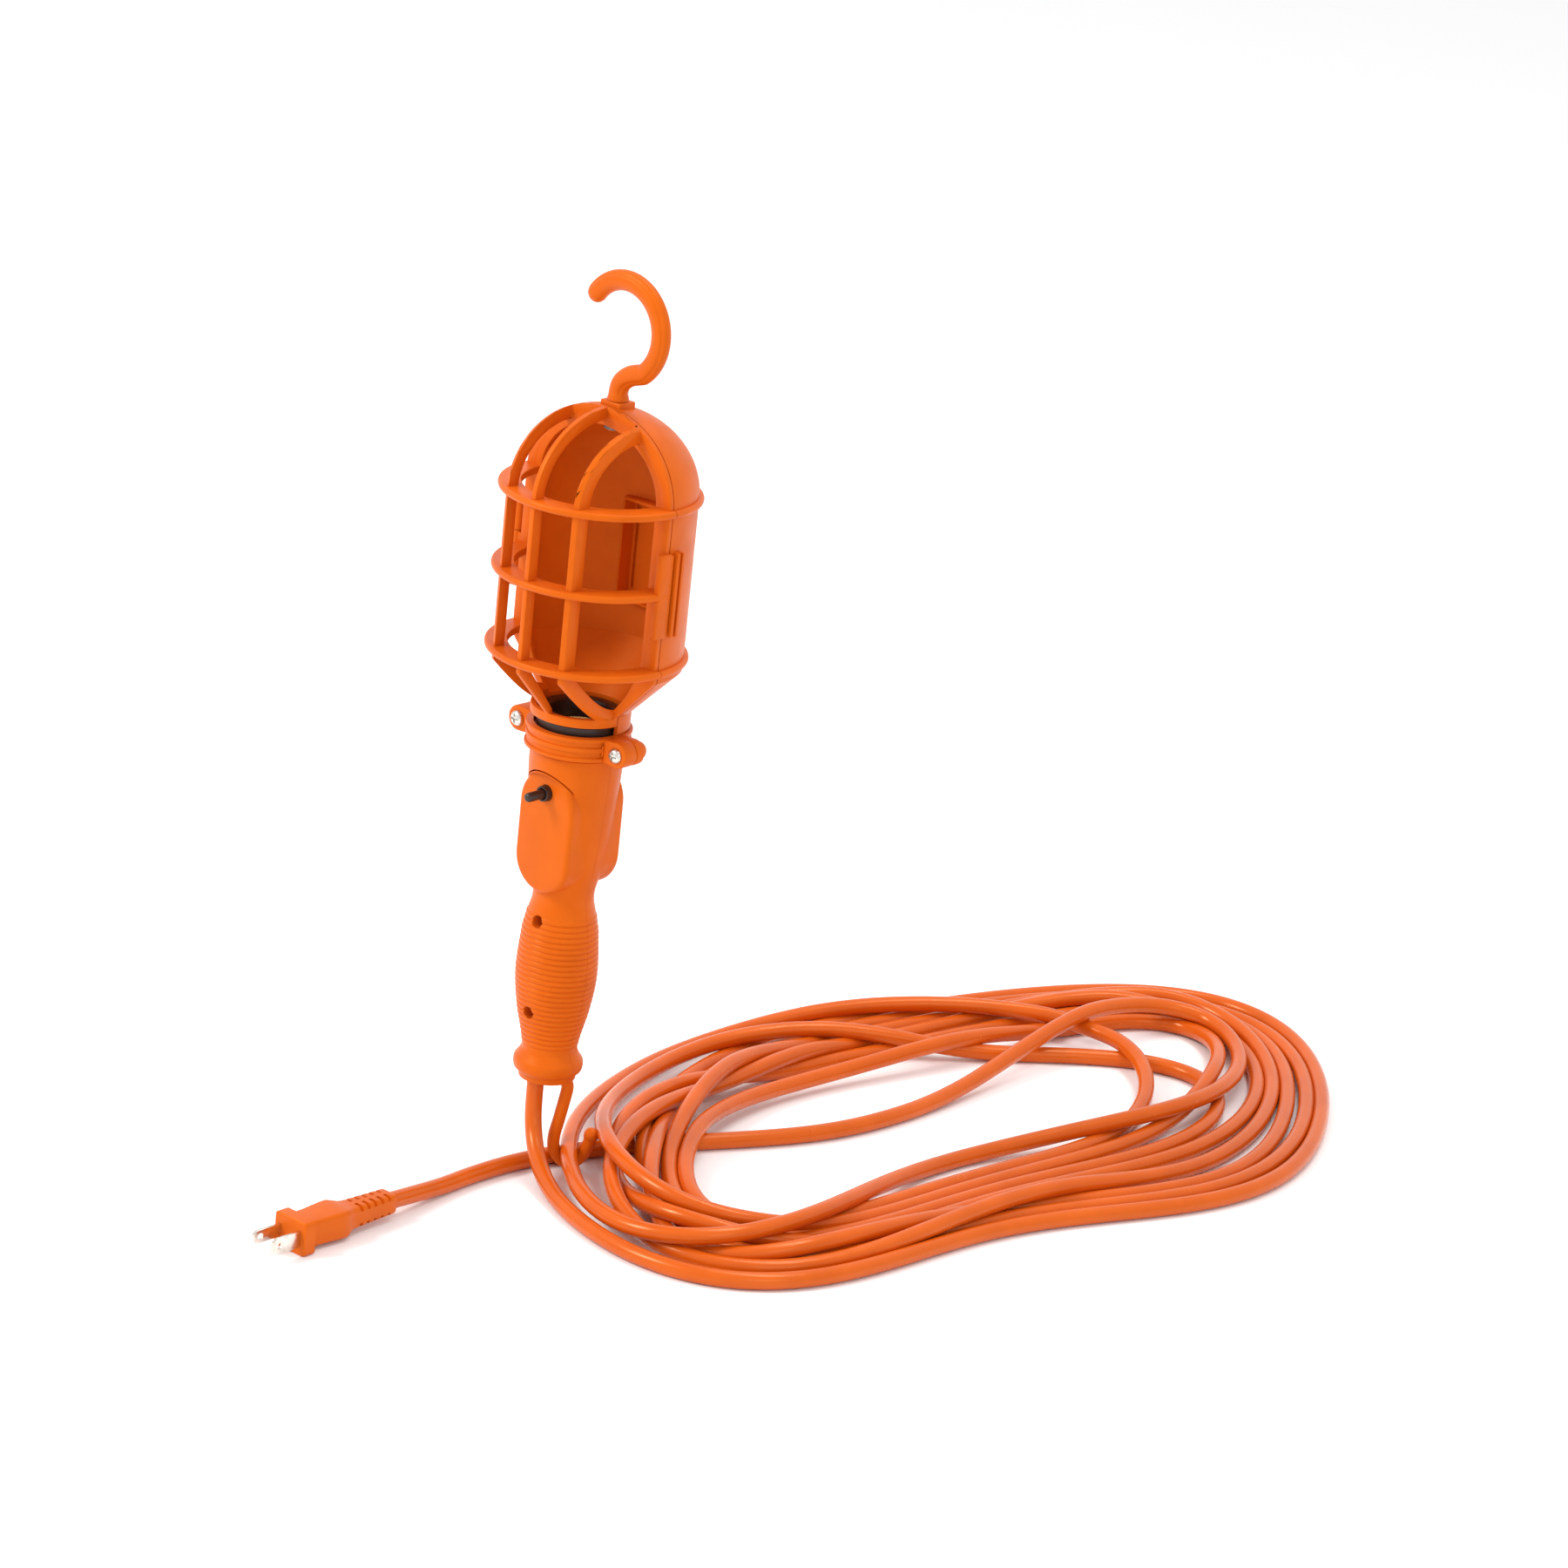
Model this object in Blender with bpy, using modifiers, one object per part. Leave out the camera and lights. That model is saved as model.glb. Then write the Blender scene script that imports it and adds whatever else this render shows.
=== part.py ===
"""Hand-held work light: a caged lamp holder on a ribbed grip, with a hanging hook and a long cord.

Every length below is in millimetres and is scaled to metres where a mesh is made. Heights are
measured up from the foot of the handle, the lamp's axis is x = y = 0, and the cage opens towards -Y.
One parent empty then carries the whole lamp so that the world's origin is the point that the light
hangs from: the inside of the top of its hanging hook.
"""
import math

import bmesh
import bpy
from mathutils import Matrix, Vector

# ---- driving dimensions ------------------------------------------------------------------------
MM = 0.001
GAP = 0.3                     # clearance between pieces that touch

GRIP_FOOT, GRIP_TOP = 17.0, 82.0
RIB_COUNT = 25
RIB_DEPTH = 0.55
GRIP_OUTLINE = [(13.2, 17.0), (17.0, 35.0), (19.0, 52.0), (17.8, 73.0), (16.2, 82.0)]

HOUSING_R = 21.3              # round body of the switch housing, just under the collar
HOUSING_TOP = 161.0
PAD_Y = 18.0                  # flat pads stand at -PAD_Y and +PAD_Y
PAD_HALF = 16.5
PAD_FOOT, PAD_TOP = 94.0, 152.6
SPIGOT_R, SPIGOT_TOP = 20.6, 171.0
HANDLE_SCREW_Z = [35.0, 79.6]

SWITCH_Z = 142.5
SWITCH_TIP = 31.0

COLLAR_R = 24.4
EAR_X, EAR_Z, EAR_R = 30.6, 167.5, 6.0

SOCKET_R, SOCKET_TOP = 19.6, 180.0
SOCKET_BORE = 13.9
SOCKET_FLOOR = 156.0

NECK_R, NECK_TOP = 23.0, 181.8
CAGE_R, CAGE_FOOT = 44.0, 204.0
DOME_FOOT, DOME_APEX = 283.0, 321.6
RING_Z = [208.5, 245.5, 283.0]
RING_R = 46.2
RING_THICK = 3.4
RIB_X = [-21.0, 0.0, 21.0]
RIB_THICK = 2.6
RIB_REACH = 5.6               # radial depth of the cage's upright bars
RING_DEPTH = 8.5              # radial depth of its rings and of the flat arch they end on
FLANGE_DEPTH = 2.6            # how far the arch reaches forward of the parting plane
SHELL_WALL = 2.4

HINGE_X, HINGE_R, HINGE_PIN_R = -47.6, 3.0, 1.3
HINGE_FOOT, HINGE_TOP = 226.0, 265.0

BOSS_Y, BOSS_HALF, BOSS_TOP, BOSS_FOOT = 5.6, 5.4, 323.4, 312.6
HOOK_CENTRE_Z, HOOK_R, HOOK_ROD = 355.8, 22.0, 4.4
HANG_HEIGHT = HOOK_CENTRE_Z + HOOK_R - HOOK_ROD

FLOOR = -46.0                 # the surface that the cord lies on, below the handle's foot
CORD_R = 4.0
CORD_EXIT = (-3.5, -3.5)
CORD_HOOK_AT = (6.9, 5.7)
CORD_HOOK_ROD = 2.9

COIL_CENTRE = (86.0, 204.0)
COIL_HALF_LENGTH, COIL_HALF_WIDTH = 257.0, 136.0
COIL_LEAN = math.radians(3.5)
COIL_BAND = 84.0              # how wide the heap of turns is
COIL_HEIGHT = 30.0
COIL_SIDES = 44

PLUG_X, PLUG_Z = 0.0, -37.8
PLUG_END, PLUG_FACE = -98.3, -160.0
BLADE_PITCH = 12.7
BLADE_LENGTH, BLADE_THICK = 16.5, 1.52
NARROW_BLADE, WIDE_BLADE = 6.35, 7.9
BLADE_HOLE_R, BLADE_HOLE_AT = 1.6, 12.0

SHELL_TURNS, SHELL_PITCH, SHELL_TOP = 4, 3.6, 171.6
SCREW_DOME = 0.62             # a screw head's height as a share of its radius
SLOT_HALF = 0.42              # half the width of a cross recess
REACH = 60.0                  # past the lamp's sides, for cutters

HANDLE_SIDES = 18             # facets round the handle, the collar and the socket
CAGE_SIDES = 32
DOME_STEPS = 6

ORANGE = (0.86, 0.16, 0.015)
BLACK = (0.02, 0.017, 0.015)
PLATED = (0.75, 0.73, 0.68)
BRASS = (0.78, 0.57, 0.25)


# ---- scene and materials -----------------------------------------------------------------------
def clear_scene():
    for obj in list(bpy.data.objects):
        bpy.data.objects.remove(obj, do_unlink=True)


def new_collection(name):
    collection = bpy.data.collections.new(name)
    bpy.context.scene.collection.children.link(collection)
    return collection


def material(name, color, roughness, metallic=0.0):
    mat = bpy.data.materials.new(name)
    mat.use_nodes = True
    shader = mat.node_tree.nodes["Principled BSDF"]
    shader.inputs["Base Color"].default_value = (*color, 1.0)
    shader.inputs["Roughness"].default_value = roughness
    shader.inputs["Metallic"].default_value = metallic
    mat.diffuse_color = (*color, 1.0)
    return mat


clear_scene()
PARTS = new_collection("work_light")
BENCH = new_collection("cutters")

LAMP = bpy.data.objects.new("lamp_frame", None)
LAMP.location = Vector((0.0, -BOSS_Y, -HANG_HEIGHT)) * MM
PARTS.objects.link(LAMP)

PLASTIC = material("orange_plastic", ORANGE, 0.38)
CORD_SKIN = material("orange_cord", ORANGE, 0.28)
PHENOLIC = material("black_phenolic", BLACK, 0.45)
ZINC = material("plated_steel", PLATED, 0.25, 1.0)
BRASS_SHEET = material("brass", BRASS, 0.3, 1.0)
INSULATION_A = material("black_insulation", (0.03, 0.03, 0.03), 0.5)
INSULATION_B = material("white_insulation", (0.8, 0.78, 0.72), 0.5)

AXIS_TURN = {
    "Z": Matrix.Identity(4),
    "Y": Matrix.Rotation(math.radians(-90.0), 4, "X"),
    "X": Matrix.Rotation(math.radians(90.0), 4, "Y"),
}


# ---- modelling helpers -------------------------------------------------------------------------
def on_bench(name, mesh):
    """A working solid: not a part until part() takes it over."""
    obj = bpy.data.objects.new(name, mesh)
    obj.hide_render = True
    obj.display_type = "WIRE"
    BENCH.objects.link(obj)
    return obj


def tidy(mesh):
    bm = bmesh.new()
    bm.from_mesh(mesh)
    bmesh.ops.remove_doubles(bm, verts=bm.verts, dist=0.000004)
    bmesh.ops.dissolve_degenerate(bm, edges=bm.edges, dist=0.000002)
    bmesh.ops.recalc_face_normals(bm, faces=bm.faces)
    bm.to_mesh(mesh)
    bm.free()


def bake(obj):
    """Replace an object's mesh by its evaluated mesh."""
    depsgraph = bpy.context.evaluated_depsgraph_get()
    mesh = bpy.data.meshes.new_from_object(obj.evaluated_get(depsgraph))
    obj.modifiers.clear()
    obj.data = mesh
    tidy(mesh)
    return obj


def box(name, low, high, bevel=0.0):
    bm = bmesh.new()
    bmesh.ops.create_cube(bm, size=1.0)
    size = Vector(high) - Vector(low)
    centre = (Vector(high) + Vector(low)) / 2
    bmesh.ops.scale(bm, vec=size * MM, verts=bm.verts)
    bmesh.ops.translate(bm, vec=centre * MM, verts=bm.verts)
    mesh = bpy.data.meshes.new(name)
    bm.to_mesh(mesh)
    bm.free()
    obj = on_bench(name, mesh)
    if bevel:
        soften(obj, bevel)
    return obj


def soften(obj, width, segments=2):
    bevel = obj.modifiers.new("round", "BEVEL")
    bevel.width = width * MM
    bevel.segments = segments
    bevel.limit_method = "ANGLE"
    bake(obj)


def turned(name, profile, axis="Z", at=(0.0, 0.0, 0.0), steps=32, ring=False):
    """Turn a profile of (radius, height) pairs about an axis; a ring's profile closes on itself."""
    mesh = bpy.data.meshes.new(name)
    count = len(profile)
    edges = [(i, i + 1) for i in range(count - 1)]
    if ring:
        edges.append((count - 1, 0))
    mesh.from_pydata([(r * MM, 0.0, h * MM) for r, h in profile], edges, [])
    obj = on_bench(name, mesh)
    screw = obj.modifiers.new("turn", "SCREW")
    screw.axis = "Z"
    screw.angle = 2 * math.pi
    screw.steps = steps
    screw.render_steps = steps
    screw.use_merge_vertices = True
    screw.merge_threshold = 0.00001
    bake(obj)
    obj.data.transform(Matrix.Translation(Vector(at) * MM) @ AXIS_TURN[axis])
    return obj


def rod(name, radius, low, high, axis="Z", at=(0.0, 0.0), steps=16):
    """A plain cylinder along an axis; at holds its place on the other two axes."""
    place = {"X": (0, *at), "Y": (at[0], 0, at[1]), "Z": (*at, 0)}[axis]
    profile = [(0, high), (radius, high), (radius, low), (0, low)]
    return turned(name, profile, axis, place, steps)


def sleeve(name, inner, outer, low, high, axis="Z", at=(0.0, 0.0), steps=16):
    place = {"X": (0, *at), "Y": (at[0], 0, at[1]), "Z": (*at, 0)}[axis]
    profile = [(outer, high), (outer, low), (inner, low), (inner, high)]
    return turned(name, profile, axis, place, steps, ring=True)


def prism(name, outline, low, high, axis="Y"):
    """Extrude a flat outline, given as pairs on the other two axes, between two planes."""
    order = {"X": lambda a, b, c: (c, a, b), "Y": lambda a, b, c: (a, c, b), "Z": lambda a, b, c: (a, b, c)}
    bm = bmesh.new()
    loop = [bm.verts.new(Vector(order[axis](a, b, low)) * MM) for a, b in outline]
    face = bm.faces.new(loop)
    grown = bmesh.ops.extrude_face_region(bm, geom=[face])
    step = Vector(order[axis](0, 0, high - low)) * MM
    bmesh.ops.translate(bm, vec=step, verts=[g for g in grown["geom"] if isinstance(g, bmesh.types.BMVert)])
    mesh = bpy.data.meshes.new(name)
    bm.to_mesh(mesh)
    bm.free()
    tidy(mesh)
    return on_bench(name, mesh)


def combine(target, tools, operation):
    """Join, cut or intersect a solid with each tool in turn, using the tools up."""
    for tool in tools:
        step = target.modifiers.new(operation.lower(), "BOOLEAN")
        step.operation = operation
        step.solver = "EXACT"
        step.object = tool
        bpy.context.view_layer.update()
        bake(target)
        bpy.data.objects.remove(tool, do_unlink=True)
    return target


def join(target, *tools):
    return combine(target, tools, "UNION")


def cut(target, *tools):
    return combine(target, tools, "DIFFERENCE")


def keep(target, tool):
    return combine(target, [tool], "INTERSECT")


def copy_of(obj, name):
    return on_bench(name, obj.data.copy())


def curve_through(points, per_span):
    """Points along a smooth curve through the given ones (Catmull-Rom)."""
    pts = [Vector(p) for p in points]
    pts = [2 * pts[0] - pts[1]] + pts + [2 * pts[-1] - pts[-2]]
    out = []
    for a, b, c, d in zip(pts, pts[1:], pts[2:], pts[3:]):
        for k in range(per_span):
            t = k / per_span
            out.append(0.5 * (2 * b + (c - a) * t + (2 * a - 5 * b + 4 * c - d) * t ** 2
                              + (3 * b - a - 3 * c + d) * t ** 3))
    return out + [pts[-2]]


def tube(name, points, radius, sides_level=2):
    """A round bar along points: a bevelled curve made into a closed mesh."""
    data = bpy.data.curves.new(name, "CURVE")
    data.dimensions = "3D"
    data.bevel_depth = radius * MM
    data.bevel_resolution = sides_level
    data.use_fill_caps = True
    spline = data.splines.new("POLY")
    spline.points.add(len(points) - 1)
    for point, place in zip(spline.points, points):
        point.co = (*(Vector(place) * MM), 1.0)
    curve = bpy.data.objects.new(name, data)
    BENCH.objects.link(curve)
    depsgraph = bpy.context.evaluated_depsgraph_get()
    mesh = bpy.data.meshes.new_from_object(curve.evaluated_get(depsgraph))
    bpy.data.objects.remove(curve, do_unlink=True)
    tidy(mesh)
    return on_bench(name, mesh)


def part(obj, name, finish, pivot=(0.0, 0.0, 0.0)):
    """Turn a working solid into a named part with its origin at pivot, carried by the lamp's empty."""
    obj.name = name
    obj.data.name = name
    obj.data.transform(Matrix.Translation(-Vector(pivot) * MM))
    obj.data.materials.clear()
    obj.data.materials.append(finish)
    obj.data.shade_smooth()
    obj.data.set_sharp_from_angle(angle=math.radians(32.0))
    obj.parent = LAMP
    obj.location = Vector(pivot) * MM
    obj.hide_render = False
    obj.display_type = "TEXTURED"
    BENCH.objects.unlink(obj)
    PARTS.objects.link(obj)
    return obj


# ---- handle ------------------------------------------------------------------------------------
def outline_radius(height):
    """Radius of the grip's smooth outline at a height, eased between the outline's points."""
    for (r0, z0), (r1, z1) in zip(GRIP_OUTLINE, GRIP_OUTLINE[1:]):
        if height <= z1:
            t = (height - z0) / (z1 - z0)
            if r1 > r0:
                return r0 + (r1 - r0) * math.sin(t * math.pi / 2)
            return r1 + (r0 - r1) * math.cos(t * math.pi / 2)
    return GRIP_OUTLINE[-1][0]


def handle_profile():
    """The handle's outer profile from its top down to its foot."""
    upper = [(SPIGOT_R, SPIGOT_TOP), (SPIGOT_R, HOUSING_TOP), (HOUSING_R, HOUSING_TOP), (HOUSING_R, 152.0),
             (20.2, 136.0), (18.6, 118.0), (17.0, 106.0), (15.2, 98.0), (14.2, 93.0), (14.6, 87.0)]
    ribs = []
    pitch = (GRIP_TOP - GRIP_FOOT) / RIB_COUNT
    for k in range(RIB_COUNT):
        valley = GRIP_TOP - k * pitch
        crest = valley - pitch / 2
        ribs += [(outline_radius(valley) - RIB_DEPTH, valley), (outline_radius(crest), crest)]
    lower = [(13.0, 16.2), (13.2, 14.0), (14.6, 11.6), (15.9, 9.6), (16.2, 7.2), (15.8, 4.8), (14.4, 3.3),
             (13.4, 3.0), (13.3, 0.5), (12.8, 0.0)]
    return [(0, SPIGOT_TOP)] + upper + ribs + lower + [(0, 0)]


def handle_cavity():
    profile = [(0, 175.0), (17.9, 175.0), (17.9, 153.8), (14.5, 153.8), (14.5, 103.0), (11.6, 92.0),
               (11.4, 86.0), (13.6, 74.0), (14.4, 54.0), (12.6, 34.0), (10.6, 18.0), (10.6, 13.4),
               (13.2, 9.0), (13.2, 4.6), (11.2, 2.8), (0, 2.8)]
    return turned("cavity", profile, steps=16)


def stadium(half_width, low, high, steps=8):
    """A tall outline with round ends, as (across, up) pairs."""
    top = [(half_width * math.cos(a), high - half_width + half_width * math.sin(a))
           for a in (math.pi * k / steps for k in range(steps + 1))]
    foot = [(-half_width * math.cos(a), low + half_width - half_width * math.sin(a))
            for a in (math.pi * k / steps for k in range(steps + 1))]
    return top + foot


def make_handle():
    handle = turned("handle", handle_profile(), steps=HANDLE_SIDES)
    pads = prism("pads", stadium(PAD_HALF, PAD_FOOT, PAD_TOP), -PAD_Y, PAD_Y)
    soften(pads, 2.6, 2)
    join(handle, pads)
    recess = stadium(PAD_HALF - 0.4, PAD_FOOT + 0.4, PAD_TOP - 0.4)
    face = PAD_Y - 0.02
    cut(handle, prism("front_recess", recess, -30, -face), prism("rear_recess", recess, face, 30))
    cut(handle, handle_cavity())
    join(handle, *[rod("screw_boss", 3.9, -13.2, 13.2, "Y", (0, z)) for z in HANDLE_SCREW_Z])
    holes = []
    for z in HANDLE_SCREW_Z:
        holes.append(rod("counterbore", 3.0, -30, -9.6, "Y", (0, z)))
        holes.append(rod("screw_hole", 1.8, -12, 11.4, "Y", (0, z), 12))
    holes.append(rod("switch_hole", 3.9, -30, 30, "Y", (0, SWITCH_Z)))
    holes.append(rod("cord_hole", CORD_R + GAP, -5, 8, "Z", CORD_EXIT))
    holes.append(rod("hook_hole", CORD_HOOK_ROD + GAP, -5, 8, "Z", CORD_HOOK_AT, 16))
    cut(handle, *holes)
    rear = copy_of(handle, "rear")
    keep(handle, box("front_half", (-60, -60, -10), (60, -GAP / 2, 190)))
    keep(rear, box("rear_half", (-60, GAP / 2, -10), (60, 60, 190)))
    part(handle, "handle_front_shell", PLASTIC)
    part(rear, "handle_rear_shell", PLASTIC)


def screw(name, x, z, head_y, head_r, shank_r, length):
    """A cross-recess pan-head screw driven along +Y, its head's underside at head_y."""
    tall = head_r * SCREW_DOME
    angles = [math.pi / 2 * k / 3 for k in range(4)]
    dome = [(head_r * math.sin(a), -tall * math.cos(a)) for a in angles]
    profile = [(0, length), (shank_r * 0.5, length), (shank_r, length - 1.2), (shank_r, 0), (head_r, 0)]
    body = turned(name, profile + dome[2:0:-1] + [(0, -tall)], "Y", (x, head_y, z), 10)
    outside, deep = head_y - tall - 1, head_y - tall * 0.35
    across = box("recess", (x - tall, outside, z - SLOT_HALF), (x + tall, deep, z + SLOT_HALF))
    upright = box("recess", (x - SLOT_HALF, outside, z - tall), (x + SLOT_HALF, deep, z + tall))
    cut(body, across, upright)
    part(body, name, ZINC)


def make_handle_screws():
    for name, z in zip(["handle_screw_lower", "handle_screw_upper"], HANDLE_SCREW_Z):
        screw(name, 0, z, -9.6 - GAP, 2.6, 1.4, 19.0)


# ---- collar ------------------------------------------------------------------------------------
def collar_profile(inner):
    ridge, band, mid = COLLAR_R, COLLAR_R - 0.9, COLLAR_R - 0.35
    return [(ridge - 0.4, 173.0), (ridge, 172.6), (ridge, 171.4), (band, 171.0), (band, 168.5), (mid, 168.2),
            (mid, 166.9), (band, 166.6), (band, 164.0), (ridge, 163.6), (ridge, 162.4), (ridge - 0.4, 162.0),
            (inner, 162.0), (inner, 173.0)]


def ear_outline(side, radius, root):
    """A tab from the collar's side out to a round end about the screw, as (across, up) pairs."""
    angles = [math.pi * k / 8 for k in range(9)]
    turn = [(EAR_X + radius * math.sin(a), EAR_Z - radius * math.cos(a)) for a in angles]
    outline = [(root, EAR_Z - 5.5)] + turn + [(root, EAR_Z + 5.5)]
    return [(side * x, z) for x, z in outline]


def make_collar(name, sign, inner):
    """One half of the clamping collar: sign -1 is the front half and +1 the rear half."""
    half = turned(name, collar_profile(inner), steps=28, ring=True)
    near, far = sorted((sign * GAP / 2, sign * 60))
    keep(half, box("half", (-60, near, 150), (60, far, 190)))
    face = 8.0 if sign < 0 else 5.0
    low, high = sorted((sign * GAP / 2, sign * face))
    ears = []
    for side in (-1, 1):
        ear = prism("ear", ear_outline(side, EAR_R, COLLAR_R - 1.2), low, high)
        ears.append(ear)
        if sign > 0:
            knob = [(0, 9.4), (2.6, 9.2), (3.9, 8.2), (4.4, 6.6), (4.4, 3.0), (0, 3.0)]
            ears.append(turned("knob", knob, "Y", (side * EAR_X, 0, EAR_Z), 20))
    join(half, *ears)
    bore_r, reach = (1.9, 12.0) if sign < 0 else (1.75, 8.0)
    low, high = sorted((-sign * 2.0, sign * reach))
    cut(half, *[rod("bore", bore_r, low, high, "Y", (side * EAR_X, EAR_Z), 12) for side in (-1, 1)])
    part(half, name, PLASTIC)


def make_collar_screws():
    for name, side in (("collar_screw_left", -1), ("collar_screw_right", 1)):
        screw(name, side * EAR_X, EAR_Z, -8.0 - GAP, 3.6, 1.45, 15.6)


# ---- lamp socket -------------------------------------------------------------------------------
def make_socket():
    profile = [(SOCKET_R - 0.8, SOCKET_TOP), (SOCKET_R, 179.2), (SOCKET_R, 171.6), (17.5, 171.6),
               (17.5, 154.2), (13.6, 154.2), (13.6, 148.0), (2.0, 148.0), (2.0, SOCKET_FLOOR),
               (SOCKET_BORE, SOCKET_FLOOR), (SOCKET_BORE, 179.0), (SOCKET_BORE + 1.0, SOCKET_TOP)]
    housing = turned("socket", profile, steps=HANDLE_SIDES, ring=True)
    cut(housing, *[rod("terminal_hole", 1.5, 140, 153, "Z", (x, 0), 12) for x in (-10.8, 10.8)])
    part(housing, "socket_housing", PHENOLIC)

    per_turn = 2
    outer = []
    for k in range(SHELL_TURNS * per_turn + 1):
        wave = 0.42 * math.cos(2 * math.pi * k / per_turn)
        outer.append((12.75 + wave, SHELL_TOP - k * SHELL_PITCH / per_turn))
    foot = outer[-1][1]
    shell = outer + [(12.4, foot - 0.8), (11.5, foot - 0.8), (11.5, foot - 0.4)]
    shell += [(r - 0.6, z) for r, z in reversed(outer)]
    part(turned("shell", shell, steps=16, ring=True), "socket_screw_shell", BRASS_SHEET)

    contact = [(0, 157.6), (2.6, 157.3), (4.4, 156.9), (4.4, 156.3), (1.6, 156.3), (1.6, 149.0), (0, 149.0)]
    part(turned("contact", contact, steps=20), "socket_center_contact", BRASS_SHEET)
    for name, x in (("terminal_screw_live", -10.8), ("terminal_screw_neutral", 10.8)):
        profile = [(0, 152.4), (1.15, 152.4), (1.15, 147.6), (2.5, 147.6), (2.5, 146.2), (0, 145.9)]
        part(turned(name, profile, at=(x, 0, 0), steps=12), name, BRASS_SHEET)


# ---- switch ------------------------------------------------------------------------------------
def make_switch():
    rod_profile = [(0, 20.0), (1.6, 19.7), (2.2, 18.8), (2.2, 0.0), (3.4, 0.0), (3.4, -6.0), (2.2, -6.0),
                   (2.2, 1.4 - SWITCH_TIP), (1.5, 0.4 - SWITCH_TIP), (0, -SWITCH_TIP)]
    stem = turned("stem", rod_profile, "Y", (0, 0, SWITCH_Z), 20)
    part(stem, "switch_rod", PHENOLIC, (0, 0, SWITCH_Z))
    for name, sign in (("switch_bushing_front", -1), ("switch_bushing_rear", 1)):
        low, high = sorted((sign * 15.2, sign * 20.4))
        bush = sleeve(name, 2.2 + GAP, 3.6, low, high, "Y", (0, SWITCH_Z), 20)
        part(bush, name, PHENOLIC)
    frame = box("frame", (-7, -12, 136.6), (7, 12, 147.4), 0.6)
    bore = rod("bore", 2.55, -14, 14, "Y", (0, SWITCH_Z))
    cut(frame, bore, rod("chamber", 3.75, -9.4, 9.4, "Y", (0, SWITCH_Z), 20))
    part(frame, "switch_frame", PHENOLIC)
    for name, x in (("switch_terminal_line", -4.2), ("switch_terminal_load", 4.2)):
        part(box(name, (x - 1.5, -6, 134.9), (x + 1.5, 6, 136.2), 0.3), name, BRASS_SHEET)


def make_wires():
    start = 26.6
    neutral = [(-2.4, -1.6, start), (-2.6, -1.4, 28.4), (-6.0, 1.2, 31), (-8.2, 2.8, 36),
               (-8.4, 2.8, 60), (-8.2, 2.8, 86), (-3, 4, 102), (5, 2.5, 116), (10.4, 0, 126),
               (10.8, 0, 136), (10.8, 0, 145.4)]
    line = [(-5.4, -4.4, start), (-5.6, -4.4, 28.4), (-7.8, -3.6, 32), (-8.6, -3.0, 38),
            (-8.6, -3.0, 60), (-8.4, -3.0, 86), (-7.2, -3.0, 104), (-5.0, -1.6, 120),
            (-4.2, 0, 130), (-4.2, 0, 134.5)]
    load = [(4.2, 0, 134.5), (4.0, 0, 130), (1.0, -4.2, 126), (-6.0, -4.6, 126), (-10.4, -2.0, 130),
            (-10.8, 0, 137), (-10.8, 0, 145.4)]
    for name, route, skin in (("wire_neutral", neutral, INSULATION_B), ("wire_line", line, INSULATION_A),
                              ("wire_load", load, INSULATION_A)):
        part(tube(name, curve_through(route, 2), 1.15, 1), name, skin)


# ---- cage --------------------------------------------------------------------------------------
def cage_outline(radius_drop=0.0, dome_steps=DOME_STEPS):
    """The cage's capsule outline from the apex to the neck, moved in by radius_drop."""
    dome = []
    tall = DOME_APEX - DOME_FOOT
    for k in range(dome_steps + 1):
        a = math.pi / 2 * k / dome_steps
        dome.append(((CAGE_R - radius_drop) * math.sin(a), DOME_FOOT + (tall - radius_drop) * math.cos(a)))
    slope = math.atan2(CAGE_R - NECK_R, CAGE_FOOT - NECK_TOP)
    shift = radius_drop * math.tan((math.pi / 2 - slope) / 2)
    dome.append((CAGE_R - radius_drop, CAGE_FOOT + shift))
    return dome


def arc_ring(z, sign, inner):
    """A flat ring with a rounded rim round one half of the cage, from an inner radius outwards."""
    t = RING_THICK / 2
    profile = [(inner, z + t), (RING_R - 0.7, z + t), (RING_R, z), (RING_R - 0.7, z - t), (inner, z - t)]
    bead = turned("ring", profile, steps=CAGE_SIDES, ring=True)
    near, far = sorted((sign * (GAP / 2 + 0.02), sign * REACH))
    return keep(bead, box("half", (-REACH, near, 150), (REACH, far, 340)))


def hinge_knuckle(low, high):
    return rod("knuckle", HINGE_R, low, high, "Z", (HINGE_X, 0), 20)


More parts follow.
